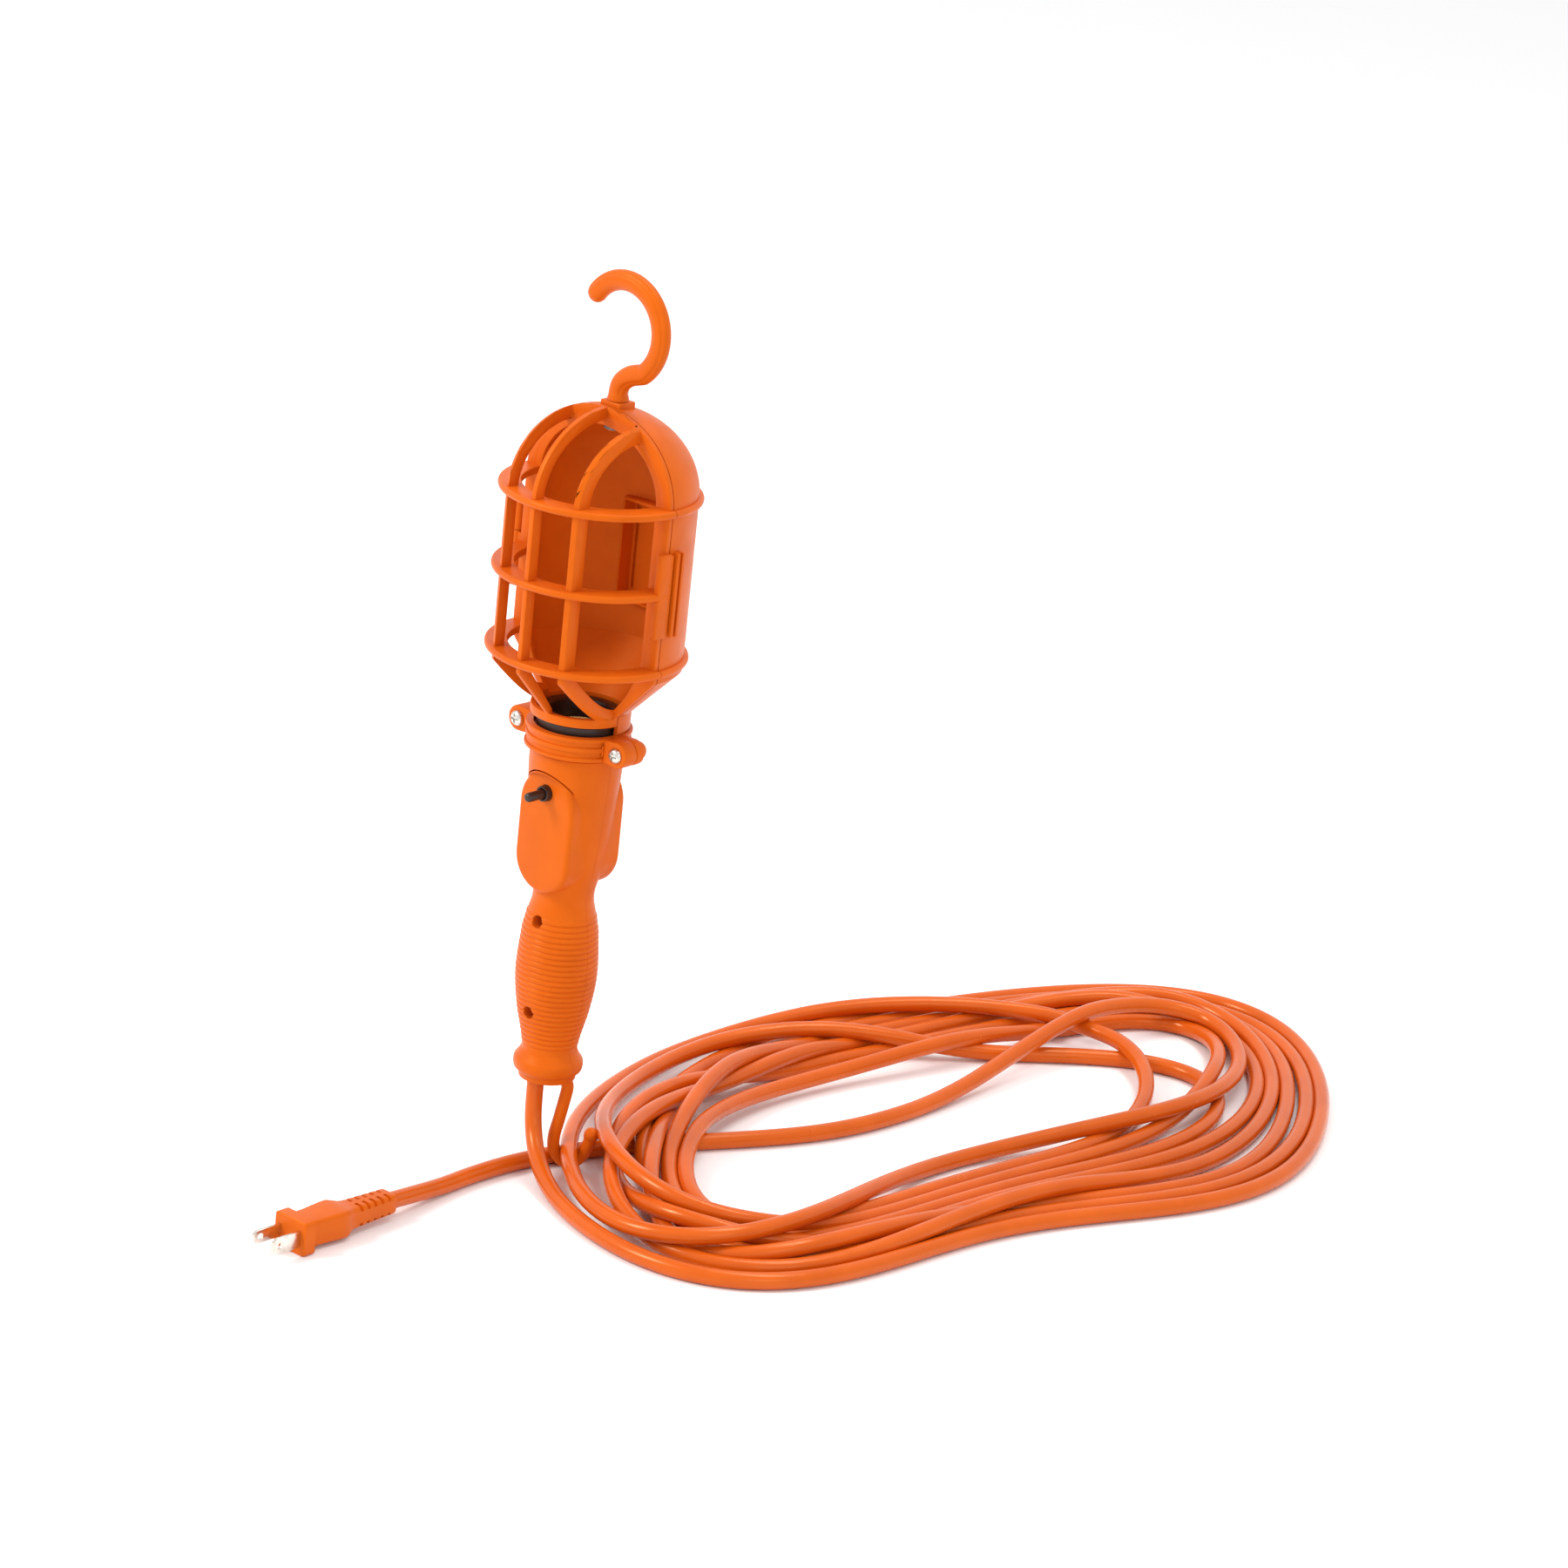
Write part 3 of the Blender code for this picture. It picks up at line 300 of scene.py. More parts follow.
def sleeve(name, inner, outer, low, high, axis="Z", at=(0.0, 0.0), steps=48):
    profile = [(outer, high), (outer, low), (inner, low), (inner, high)]
    return turned(name, profile, axis, on_axis(axis, at), steps, ring=True)


def prism(name, outline, low, high, axis="Y"):
    """Push an outline along an axis; its pairs are the other two coordinates in their usual order."""
    order = {"X": (2, 0, 1), "Y": (0, 2, 1), "Z": (0, 1, 2)}[axis]
    count = len(outline)
    ends = [(a, b, level) for level in (low, high) for a, b in outline]
    verts = [tuple(end[k] for k in order) for end in ends]
    faces = [tuple(range(count)), tuple(range(2 * count - 1, count - 1, -1))]
    faces += [(j, (j + 1) % count, count + (j + 1) % count, count + j) for j in range(count)]
    return from_faces(name, verts, faces)


def combine(target, tools, operation):
    for tool in tools:
        step = target.modifiers.new(operation.lower(), "BOOLEAN")
        step.operation = operation
        step.solver = "EXACT"
        step.object = tool
        bpy.context.view_layer.update()
        bake(target)
        bpy.data.objects.remove(tool, do_unlink=True)
    return target


def join(target, *tools):
    return combine(target, tools, "UNION")


def cut(target, *tools):
    return combine(target, tools, "DIFFERENCE")


def keep(target, tool):
    return combine(target, [tool], "INTERSECT")


def merge(name, *objs):
    """Several closed solids as one mesh."""
    bm = bmesh.new()
    for obj in objs:
        bm.from_mesh(obj.data)
        bpy.data.objects.remove(obj, do_unlink=True)
    mesh = bpy.data.meshes.new(name)
    bm.to_mesh(mesh)
    bm.free()
    return working(name, mesh)


def copy_of(obj, name):
    return working(name, obj.data.copy())


def on_curve(a, b, c, d, t):
    """The point a share t of the way from b to c on the Catmull-Rom curve through all four."""
    return 0.5 * (2 * b + (c - a) * t + (2 * a - 5 * b + 4 * c - d) * t * t
                  + (3 * b - a - 3 * c + d) * t ** 3)


def spline(points, per_span, closed=False):
    p = np.asarray(points, float)
    if closed:
        p = np.vstack([p[-1], p, p[0], p[1]])
    else:
        p = np.vstack([2 * p[0] - p[1], p, 2 * p[-1] - p[-2]])
    out = [on_curve(a, b, c, d, k / per_span)
           for a, b, c, d in zip(p, p[1:], p[2:], p[3:]) for k in range(per_span)]
    if not closed:
        out.append(p[-2])
    return np.array(out)


def loft_faces(rows, count):
    """Faces of a closed skin over rows of count points each, with both ends capped."""
    faces = []
    for k in range(rows - 1):
        for j in range(count):
            i = (j + 1) % count
            faces.append((k * count + j, k * count + i, (k + 1) * count + i, (k + 1) * count + j))
    return faces + [tuple(range(count)), tuple(range((rows - 1) * count, rows * count))]


def sweep(name, path, section, side):
    """Sweep a closed section of (across, up) pairs along a path; side is the section's up."""
    verts, count = [], len(section)
    pts = [Vector(p) for p in path]
    for k, here in enumerate(pts):
        along = (pts[min(k + 1, len(pts) - 1)] - pts[max(k - 1, 0)]).normalized()
        up = (Vector(side) - along * along.dot(Vector(side))).normalized()
        across = up.cross(along)
        verts += [here + across * a + up * b for a, b in section]
    return from_faces(name, verts, loft_faces(len(pts), count))


def ball(name, centre, radius, rings=16):
    profile = [(radius * math.sin(a), -radius * math.cos(a)) for a in arc(0, math.pi, rings)]
    profile[0], profile[-1] = (0, -radius), (0, radius)
    return turned(name, profile, at=centre, steps=2 * rings)


def place(obj, name, body, nodes, finish, smooth_angle=34.0):
    """Turn a working solid into a finished piece on a body, standing for its CAD nodes."""
    obj.name = name
    obj.data.name = name
    obj.data.transform(TO_ROW)
    obj.data.materials.clear()
    obj.data.materials.append(finish)
    obj.data.shade_smooth()
    obj.data.set_sharp_from_angle(angle=math.radians(smooth_angle))
    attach(obj, body)
    if nodes:
        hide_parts(*nodes)
    return obj


# ---- cord --------------------------------------------------------------------------------------
ROPE_STEP = 6.0
ROPE_PASSES = 2200
ROPE_FALL = 0.12
ROPE_CLEAR = 2 * CORD_R + 0.15        # least distance between two strands' middles
ROPE_STIFF = 0.05                     # share of a bend taken out in one go
ROPE_EASING = 110                     # passes that smooth the laid rope before it falls
ROPE_BLIND = 20.0                     # a strand doesn't push on itself within this length
ROPE_LOOK = 7.0                       # how much farther than ROPE_CLEAR the search for pairs goes
ROPE_GIVE, ROPE_DRAG = 0.45, 0.92     # shares of a stretch taken back, and of a slide kept
ROPE_DEEP = 0.82                      # nearer than this share, strands part by their lay
ROPE_SPREAD = 0.6                     # share of its contacts that a point's push is divided by
RISE = 8.5                    # how far one turn starts above the one below
STATIONS = 8
KNOT_EVERY = 4                        # route points to one knot of the drawn curve
DROP = [(-3.5, -3.5, 0.0), (-3.5, -3.5, -10.0), (-2.6, -4.2, -18.0), (3.0, -8.6, -30.0),
        (16.0, -18.4, -39.6), (34.0, -31.0, -42.0)]
TAIL = [(46, 138, -42), (45, 118, -42), (40, 96, -42), (31, 72, -42), (18, 49, -42), (4, 29, -42),
        (-4, 13, -42), (-8.5, -4, -42), (-9, -24, -42), (-6.5, -48, -42), (-3.2, -70, -41.4),
        (-0.6, -87, -38.9), (0, -98, -38)]
OUTER = [(34, 2), (48, -22), (74, -42), (110, -49), (146, -30), (168, 8), (172, 50), (163, 100),
         (176, 150), (206, 196), (224, 246), (214, 296), (186, 352), (150, 400), (114, 436),
         (78, 452), (48, 438), (24, 405), (6, 360), (-10, 311), (-28, 270), (-42, 223), (-45, 157),
         (-36, 106), (-8, 54)]
INNER = [(54, 66), (58, 52), (74, 42), (92, 42), (104, 56), (111, 72), (114, 88), (114, 106),
         (115, 136), (116, 168), (119, 200), (122, 226), (122, 252), (116, 276), (106, 290),
         (95, 290), (86, 278), (78, 262), (69, 242), (60, 218), (52, 190), (45, 160), (40, 130),
         (38, 104), (42, 84)]
# One row a turn: the strand's place across the band at eight stations, 0 outside and 1 inside.
LAY = [
    (0.00, 0.00, 0.00, 0.00, 0.02, 0.02, 0.05, 0.10),
    (0.30, 0.30, 0.16, 0.22, 0.04, 0.12, 0.02, 0.26),
    (0.58, 0.12, 0.30, 0.06, 0.18, 0.12, 0.34, 0.44),
    (0.14, 0.45, 0.08, 0.42, 0.16, 0.26, 0.18, 0.62),
    (0.40, 0.20, 0.22, 0.28, 0.22, 0.18, 0.10, 0.34),
    (0.70, 0.60, 0.45, 0.60, 0.40, 0.66, 0.66, 0.16),
    (0.22, 0.36, 0.62, 0.86, 0.46, 0.24, 0.50, 0.50),
    (0.52, 0.66, 0.52, 0.50, 0.74, 0.62, 0.26, 0.02),
    (-0.10, 0.12, 0.74, 1.00, 0.46, 0.26, 0.96, 1.12),
    (1.10, 1.10, 1.10, 1.10, 1.10, 1.10, 1.10, 1.10),
]
COIL_START, COIL_END = 0.088, 8.86
HOOKED_TURN, HOOKED_AT = 8.0, (11.4, 9.4)


def even_steps(points, step):
    """The same route with its points about one step apart."""
    lengths = np.linalg.norm(np.diff(points, axis=0), axis=1)
    along = np.r_[0.0, np.cumsum(lengths)]
    want = np.linspace(0.0, along[-1], int(round(along[-1] / step)) + 1)
    return np.stack([np.interp(want, along, points[:, i]) for i in range(3)], 1)


def laid_turns():
    """The turns as first laid down: each one a little above the last, weaving across the band."""
    outside, inside = spline(OUTER, 8, True), spline(INNER, 8, True)
    around = len(outside)
    rows = np.array(LAY, float).ravel()
    count = int((COIL_END - COIL_START) * around)
    turn = COIL_START + np.arange(count + 1) / around
    pts = []
    for f in turn:
        g = f * STATIONS
        k = int(g)
        t = g - k
        a, b, c, d = rows[np.clip([k - 1, k, k + 1, k + 2], 0, len(rows) - 1)]
        s = on_curve(a, b, c, d, t)
        i = int(f % 1 * around) % around
        x, y = outside[i] * (1 - s) + inside[i] * s
        pts.append((x, y, FLOOR + CORD_R + RISE * (1 + f - COIL_START)))
    pts = np.array(pts)
    gap = np.hypot(pts[:, 0] - HOOKED_AT[0], pts[:, 1] - HOOKED_AT[1])
    nearest = int(np.argmin(np.where(np.abs(turn - HOOKED_TURN) < 0.06, gap, np.inf)))
    pull = np.clip(1 - np.abs(turn - turn[nearest]) / 0.10, 0, 1)
    pull = pull * pull * (3 - 2 * pull)
    pts[:, :2] += pull[:, None] * (np.array(HOOKED_AT) - pts[nearest, :2])
    return pts


def cord_hook_route():
    """The cord hook's wire: down from the handle's foot and round into an open loop."""
    root = Vector((*CORD_HOOK_AT, 0.0))
    out, reach = root.normalized(), root.length
    flat = [(reach, 2.0), (reach + 0.3, -1.5), (reach + 1.2, -5.0), (reach + 0.2, -12.0),
            (7.4, -22.0), (6.0, -30.0), (6.6, -36.5), (10.6, -41.6), (16.0, -41.8), (20.2, -37.6),
            (22.4, -31.5), (23.2, -27.5)]
    return [out * u + Vector((0, 0, z)) for u, z in flat]


def stiffen(p, free):
    """Take out part of each bend that free points make, over three reaches along the rope."""
    for reach in (4, 2, 1):
        b = np.zeros_like(p)
        b[2 * reach:-2 * reach] = (p[:-4 * reach] - 4 * p[reach:-3 * reach] + 6 * p[2 * reach:-2 * reach]
                                   - 4 * p[3 * reach:-reach] + p[4 * reach:])
        p = p - free * ROPE_STIFF * b
    return p


def settle(p, held, hook):
    """Let a laid rope fall onto the floor, itself and the hook, keeping its length and its lay."""
    p = p.copy()
    count = len(p)
    free = np.where(held, 0.0, 1.0)[:, None]
    for _ in range(ROPE_EASING):
        p = stiffen(p, free)
    rest = np.linalg.norm(np.diff(p, axis=0), axis=1)
    lay = p.copy()
    lay[:, 2] = 0.0
    order = p[:, 2].copy()
    near_skip = int(math.ceil(ROPE_BLIND / ROPE_STEP)) + 1
    look = ROPE_CLEAR + ROPE_LOOK
    hook_clear = CORD_HOOK_WIRE + CORD_R + 0.15
    for n in range(ROPE_PASSES):
        before = p.copy()
        p[:, 2] -= ROPE_FALL * free[:, 0] * (1.0 if n < ROPE_PASSES * 0.8 else 0.5)
        if n % 6 == 0:
            q = p.astype(np.float32)
            sq = (q ** 2).sum(1)
            far = sq[:, None] + sq[None, :] - 2 * q @ q.T
            i, j = np.nonzero(np.triu(far < look * look, near_skip))
        for _ in range(3):
            p = stiffen(p - lay, free) + lay
            d = np.diff(p, axis=0)
            length = np.linalg.norm(d, axis=1)
            fix = (ROPE_GIVE * (length - rest) / length)[:, None] * d
            p[:-1] += free[:-1] * fix
            p[1:] -= free[1:] * fix
            d = p[j] - p[i]
            apart = np.linalg.norm(d, axis=1)
            m = apart < ROPE_CLEAR
            if m.any():
                a, b = i[m], j[m]
                size = np.maximum(apart[m], 1e-6)
                unit = d[m] / size[:, None]
                deep = size < ROPE_DEEP * ROPE_CLEAR
                unit[deep] *= 0.3
                unit[deep, 2] += 0.7 * np.sign(order[b[deep]] - order[a[deep]])
                unit /= np.maximum(np.linalg.norm(unit, axis=1), 1e-6)[:, None]
                push = (0.5 * (ROPE_CLEAR - size))[:, None] * unit
                total = np.zeros_like(p)
                for axis in range(3):
                    along = push[:, axis]
                    total[:, axis] = np.bincount(b, along, count) - np.bincount(a, along, count)
                touches = np.bincount(a, minlength=count) + np.bincount(b, minlength=count)
                p += free * total / np.maximum(touches * ROPE_SPREAD, 1)[:, None]
            near = np.nonzero((np.abs(p[:, 0] - 12) < 40) & (np.abs(p[:, 1] - 9) < 40))[0]
            d = p[near][:, None, :] - hook[None]
            apart = np.linalg.norm(d, axis=2)
            k = apart.argmin(1)
            rows = np.arange(len(near))
            size = apart[rows, k]
            m = size < hook_clear
            share = (hook_clear - size[m]) / np.maximum(size[m], 1e-6)
            p[near[m]] += free[near[m]] * d[rows, k][m] * share[:, None]
            p[:, 2] = np.maximum(p[:, 2], FLOOR + CORD_R)
        p[:, :2] = before[:, :2] + (p[:, :2] - before[:, :2]) * ROPE_DRAG
    return p


def make_cord():
    route = np.vstack([spline(DROP, 6)[:-1], laid_turns(), spline(TAIL, 6)])
    route = even_steps(route, ROPE_STEP)
    held = np.zeros(len(route), bool)
    held[:3] = True
    held[-4:] = True
    hook = spline([tuple(p) for p in cord_hook_route()], 4)
    route = settle(route, held, hook)
    knots = np.vstack([route[:-1:KNOT_EVERY], route[-1]])
    if np.linalg.norm(knots[-1] - knots[-2]) < 0.6 * KNOT_EVERY * ROPE_STEP:
        knots = np.delete(knots, -2, axis=0)
    data = bpy.data.curves.new("supply_cord", "CURVE")
    data.dimensions = "3D"
    data.bevel_depth = CORD_R * MM
    data.bevel_resolution = 7
    data.resolution_u = 6
    data.use_fill_caps = True
    line = data.splines.new("BEZIER")
    line.bezier_points.add(len(knots) - 1)
    slopes = np.gradient(knots, axis=0)
    for point, at, slope in zip(line.bezier_points, knots, slopes):
        centre = TO_ROW @ Vector(at)
        reach = Vector(slope) * MM / 3
        point.handle_left_type = point.handle_right_type = "FREE"
        point.co = centre
        point.handle_left = centre - reach
        point.handle_right = centre + reach
    data.materials.append(CORD_SKIN)
    cord = bpy.data.objects.new("supply_cord", data)
    bpy.context.scene.collection.objects.link(cord)
    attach(cord, "lamp")
    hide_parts("supply_cord_drop", "supply_cord_coil", "supply_cord_tail")
    length = float(np.linalg.norm(np.diff(route, axis=0), axis=1).sum()) * MM
    return cord, length


CORD, CORD_LENGTH = make_cord()


# ---- handle ------------------------------------------------------------------------------------
PAD_Y, PAD_HALF, PAD_FOOT, PAD_TOP = 18.0, 16.5, 94.0, 152.6
SPIGOT_R, SPIGOT_TOP, HOUSING_R, HOUSING_TOP = 20.6, 171.0, 21.3, 161.0
GRIP_FOOT, GRIP_TOP, RIB_COUNT, RIB_DEPTH = 17.0, 82.0, 25, 0.6
GRIP_OUTLINE = [(13.2, 17.0), (17.0, 35.0), (19.0, 52.0), (17.8, 73.0), (16.2, 82.0)]
SCREW_Z = [35.0, 79.6]
SWITCH_Z, SWITCH_TIP = 142.5, 31.0


def eased(outline, height):
    """Radius of a smooth outline of (radius, height) pairs at a height."""
    p = [outline[0]] + outline + [outline[-1]]
    for k in range(1, len(p) - 2):
        (r0, _), (r1, z1), (r2, z2), (r3, _) = p[k - 1:k + 3]
        if height <= z2 or k == len(p) - 3:
            t = (height - z1) / (z2 - z1)
            return on_curve(r0, r1, r2, r3, t)


def smooth_run(points, per_span=5):
    return [tuple(p) for p in spline(points, per_span)]


def handle_profile():
    top = [(SPIGOT_R - 0.4, SPIGOT_TOP), (SPIGOT_R, SPIGOT_TOP - 0.4), (SPIGOT_R, HOUSING_TOP),
           (HOUSING_R - 0.3, HOUSING_TOP), (HOUSING_R, HOUSING_TOP - 0.4)]
    body = smooth_run([(HOUSING_R, 160.0), (HOUSING_R, 152.0), (20.2, 136.0), (18.6, 118.0),
                       (17.0, 106.0), (15.2, 98.0), (14.2, 93.0), (14.3, 88.0), (15.4, 83.2)])
    pitch = (GRIP_TOP - GRIP_FOOT) / RIB_COUNT
    ribs = []
    for k in range(RIB_COUNT):
        for share, drop in ((0.0, 1.0), (0.10, 0.75), (0.22, 0.22), (0.36, 0.03), (0.64, 0.03),
                            (0.78, 0.22), (0.90, 0.75)):
            z = GRIP_TOP - (k + share) * pitch
            ribs.append((eased(GRIP_OUTLINE, z) - RIB_DEPTH * drop, z))
    foot = smooth_run([(12.9, 16.6), (13.1, 14.2), (14.5, 11.6), (15.9, 9.6), (16.2, 7.2),
                       (15.7, 4.8), (14.3, 3.4)])
    disc = [(13.5, 3.1), (13.35, 2.8), (13.3, 0.7), (13.1, 0.25), (12.6, 0.0)]
    return [(0, SPIGOT_TOP)] + top + body + ribs + foot + disc + [(0, 0)]


def stadium(half_width, low, high, steps=20):
    turn = arc(0, math.pi, steps)
    top = [(half_width * math.cos(a), high - half_width + half_width * math.sin(a)) for a in turn]
    foot = [(-half_width * math.cos(a), low + half_width - half_width * math.sin(a)) for a in turn]
    return top + foot


def make_handle():
    handle = turned("handle", handle_profile(), steps=96)
    pads = rounded(prism("pads", stadium(PAD_HALF, PAD_FOOT, PAD_TOP), -PAD_Y, PAD_Y), 2.6, 5)
    join(handle, pads)
    for side in (-1, 1):
        low, high = sorted((side * (PAD_Y + 12), side * (PAD_Y - 0.02)))
        cut(handle, prism("recess", stadium(PAD_HALF - 0.4, PAD_FOOT + 0.4, PAD_TOP - 0.4),
                          low, high))
    over, under = PAD_HALF + 0.9, PAD_HALF + 0.1
    half_turn = arc(0, math.pi, 24)
    arch = [(over * math.cos(a), PAD_TOP - PAD_HALF + over * math.sin(a)) for a in half_turn]
    arch += [(under * math.cos(a), PAD_TOP - PAD_HALF + under * math.sin(a)) for a in half_turn[::-1]]
    cut(handle, prism("arch", arch, -PAD_Y - 12, -PAD_Y + 3.2))
    bore = [(0, 175.0), (17.9, 175.0), (17.9, 153.8), (14.5, 153.8), (14.5, 103.0), (11.6, 92.0),
            (11.4, 86.0), (13.6, 74.0), (14.4, 54.0), (12.6, 34.0), (10.6, 18.0), (10.6, 13.4),
            (13.2, 9.0), (13.2, 4.6), (11.2, 2.8), (0, 2.8)]
    cut(handle, turned("cavity", bore, steps=32))
    join(handle, *[rod("screw_boss", 3.9, -13.2, 13.2, "Y", (0, z)) for z in SCREW_Z])
    holes = []
    for z in SCREW_Z:
        holes.append(rod("counterbore", 3.0, -30, -9.6, "Y", (0, z)))
        holes.append(rod("screw_hole", 1.8, -12, 11.4, "Y", (0, z), 24))
    holes.append(rod("switch_hole", 3.9, -30, 30, "Y", (0, SWITCH_Z)))
    holes.append(rod("cord_hole", CORD_R + GAP, -5, 8, "Z", CORD_EXIT[:2]))
    holes.append(rod("hook_hole", CORD_HOOK_WIRE + GAP, -5, 8, "Z", CORD_HOOK_AT))
    cut(handle, *holes)
    rear = copy_of(handle, "rear")
    keep(handle, box("front_half", (-PARTING, -PARTING, -10), (PARTING, -0.06, 190)))
    keep(rear, box("rear_half", (-PARTING, 0.06, -10), (PARTING, PARTING, 190)))
    place(handle, "grip_front", "lamp", ["handle_front_shell"], ORANGE)
    place(rear, "grip_rear", "lamp", ["handle_rear_shell"], ORANGE)


def screw(name, node, x, z, head_y, head_r, shank_r, length):
    """A pan-head screw with a cross recess, driven along +Y."""
    tall = head_r * 0.62
    dome = [(head_r * math.sin(a), -tall * math.cos(a)) for a in arc(0, math.pi / 2, 8)]
    profile = [(0, length), (shank_r * 0.5, length), (shank_r, length - 1.2), (shank_r, 0),
               (head_r, 0)]
    body = turned(name, profile + dome[7:0:-1] + [(0, -tall)], "Y", (x, head_y, z), 48)
    slot, half = head_r * 0.62, 0.45
    deep = head_y - tall * 0.3
    across = box("recess", (x - slot, head_y - tall - 1, z - half), (x + slot, deep, z + half), 0.15)
    upright = box("recess", (x - half, head_y - tall - 1, z - slot), (x + half, deep, z + slot), 0.15)
    cut(body, across, upright)
    place(body, name, "lamp", [node], ZINC)


# ---- collar ------------------------------------------------------------------------------------
COLLAR_R, EAR_X, EAR_Z, EAR_R = 24.4, 30.6, 167.5, 6.0


def collar_profile(inner):
    ridge, band, mid = COLLAR_R, COLLAR_R - 1.1, COLLAR_R - 0.35
    half = [(ridge - 0.5, 5.5), (ridge - 0.15, 5.35), (ridge, 5.0), (ridge, 4.1),
            (ridge - 0.15, 3.75), (band + 0.15, 3.5), (band, 3.2), (band, 1.2), (mid - 0.1, 1.0),
            (mid, 0.75)]
    up = [(r, EAR_Z + h) for r, h in half]
    down = [(r, EAR_Z - h) for r, h in half[::-1]]
    return up + down + [(inner, 162.0), (inner, 173.0)]


def ear_outline(side, root):
    turn = [(EAR_X + EAR_R * math.sin(a), EAR_Z - EAR_R * math.cos(a)) for a in arc(0, math.pi, 24)]
    return [(side * x, z) for x, z in [(root, EAR_Z - 5.5)] + turn + [(root, EAR_Z + 5.5)]]


def make_collar(name, node, sign, inner):
    half = turned("collar", collar_profile(inner), steps=128, ring=True)
    near, far = sorted((sign * 0.1, sign * PARTING))
    keep(half, box("half", (-PARTING, near, 150), (PARTING, far, 190)))
    face = 8.0 if sign < 0 else 5.0
    low, high = sorted((sign * 0.1, sign * face))
    for side in (-1, 1):
        ear = rounded(prism("ear", ear_outline(side, COLLAR_R - 1.4), low, high), 0.7, 3, 60)
        join(half, ear)
        if sign > 0:
            knob = [(0, 9.4), (2.4, 9.3), (3.3, 8.9), (4.0, 8.0), (4.4, 6.6), (4.4, 3.0), (0, 3.0)]
            join(half, turned("knob", knob, "Y", (side * EAR_X, 0, EAR_Z), 40))
        else:
            for level in (-3.2, 3.2):
                z = EAR_Z + level
                join(half, box("step", (side * 22.0, -7.6, z - 0.5),
                               (side * 26.2, -3.0, z + 0.5), 0.2))
            tee = box("tee", (side * 22.4, -8.6, EAR_Z - 2.6), (side * 23.2, -6.0, EAR_Z + 2.6), 0.2)
            join(half, tee)
    bore_r, reach = (1.9, 12.0) if sign < 0 else (1.75, 8.0)
    low, high = sorted((-sign * 2.0, sign * reach))
    cut(half, *[rod("bore", bore_r, low, high, "Y", (side * EAR_X, EAR_Z), 24) for side in (-1, 1)])
    place(half, name, "lamp", [node], ORANGE)


# ---- lamp socket and switch --------------------------------------------------------------------
def make_socket():
    profile = [(18.4, 180.0), (19.2, 179.8), (19.6, 179.2), (19.6, 177.4), (19.3, 177.2),
               (19.3, 176.4), (19.6, 176.2), (19.6, 171.6), (17.5, 171.6), (17.5, 154.2),
               (13.6, 154.2), (13.6, 148.0), (2.0, 148.0), (2.0, 156.0), (13.9, 156.0),
               (13.9, 178.6), (14.3, 179.6), (15.0, 180.0)]
    housing = turned("socket", profile, steps=128, ring=True)
    cut(housing, *[rod("terminal_hole", 1.5, 140, 153, "Z", (x, 0), 24) for x in (-10.8, 10.8)])
    place(housing, "socket_body", "lamp", ["socket_housing"], PHENOLIC)
    turns, per_turn, pitch, top, mean_r, wave, wall = 4, 12, 3.6, 171.6, 12.75, 0.42, 0.6
    outer = [(mean_r + wave * math.cos(2 * math.pi * k / per_turn), top - k * pitch / per_turn)
             for k in range(turns * per_turn + 1)]
    foot = outer[-1][1]
    shell = outer + [(12.4, foot - 0.8), (11.5, foot - 0.8), (11.5, foot - 0.4)]
    shell = turned("shell", shell + [(r - wall, z) for r, z in reversed(outer)], steps=96, ring=True)
    place(shell, "lamp_thread", "lamp", ["socket_screw_shell"], BRASS)


def make_switch():
    profile = [(0, 20.0), (1.6, 19.7), (2.0, 19.3), (2.2, 18.8), (2.2, 0.0), (3.4, 0.0), (3.4, -6.0),
               (2.2, -6.0)]
    round_end = [(2.2, 1.8), (2.0, 0.9), (1.5, 0.3), (0.8, 0.05), (0, 0)]
    tip = [(r, h - SWITCH_TIP) for r, h in round_end]
    stem = turned("stem", profile + tip, "Y", (0, 0, SWITCH_Z), 48)
    place(stem, "push_rod", "switch", ["switch_rod"], PHENOLIC)
    for name, node, sign in (("bush_front", "switch_bushing_front", -1),
                             ("bush_rear", "switch_bushing_rear", 1)):
        rim = [(3.7, 14.8), (3.7, 20.2), (3.5, 20.9), (3.0, 21.0), (2.55, 20.7), (2.5, 15.0)]
        bush = turned("bush", [(r, sign * h) for r, h in rim], "Y", (0, 0, SWITCH_Z), 48, ring=True)
        place(bush, name, "lamp", [node], PHENOLIC)


# ---- cage --------------------------------------------------------------------------------------
NECK_R, NECK_FOOT, NECK_TOP = 23.0, 177.6, 181.8
CAGE_R, CAGE_FOOT, DOME_FOOT, DOME_APEX = 44.0, 204.0, 283.0, 321.6
RING_Z, RING_R, RING_THICK = [208.5, 245.5, 283.0], 46.2, 3.4
RIB_X, RIB_THICK, RIB_REACH = [-21.0, 0.0, 21.0], 2.6, 5.6
RING_DEPTH, FLANGE_DEPTH, SHELL_WALL = 8.5, 2.6, 2.4
HINGE_X, HINGE_R, PIN_R, HINGE_FOOT, HINGE_TOP = -47.6, 3.0, 1.3, 226.0, 265.0
KNUCKLE = 13.0                        # height of the reflector's two outer hinge knuckles


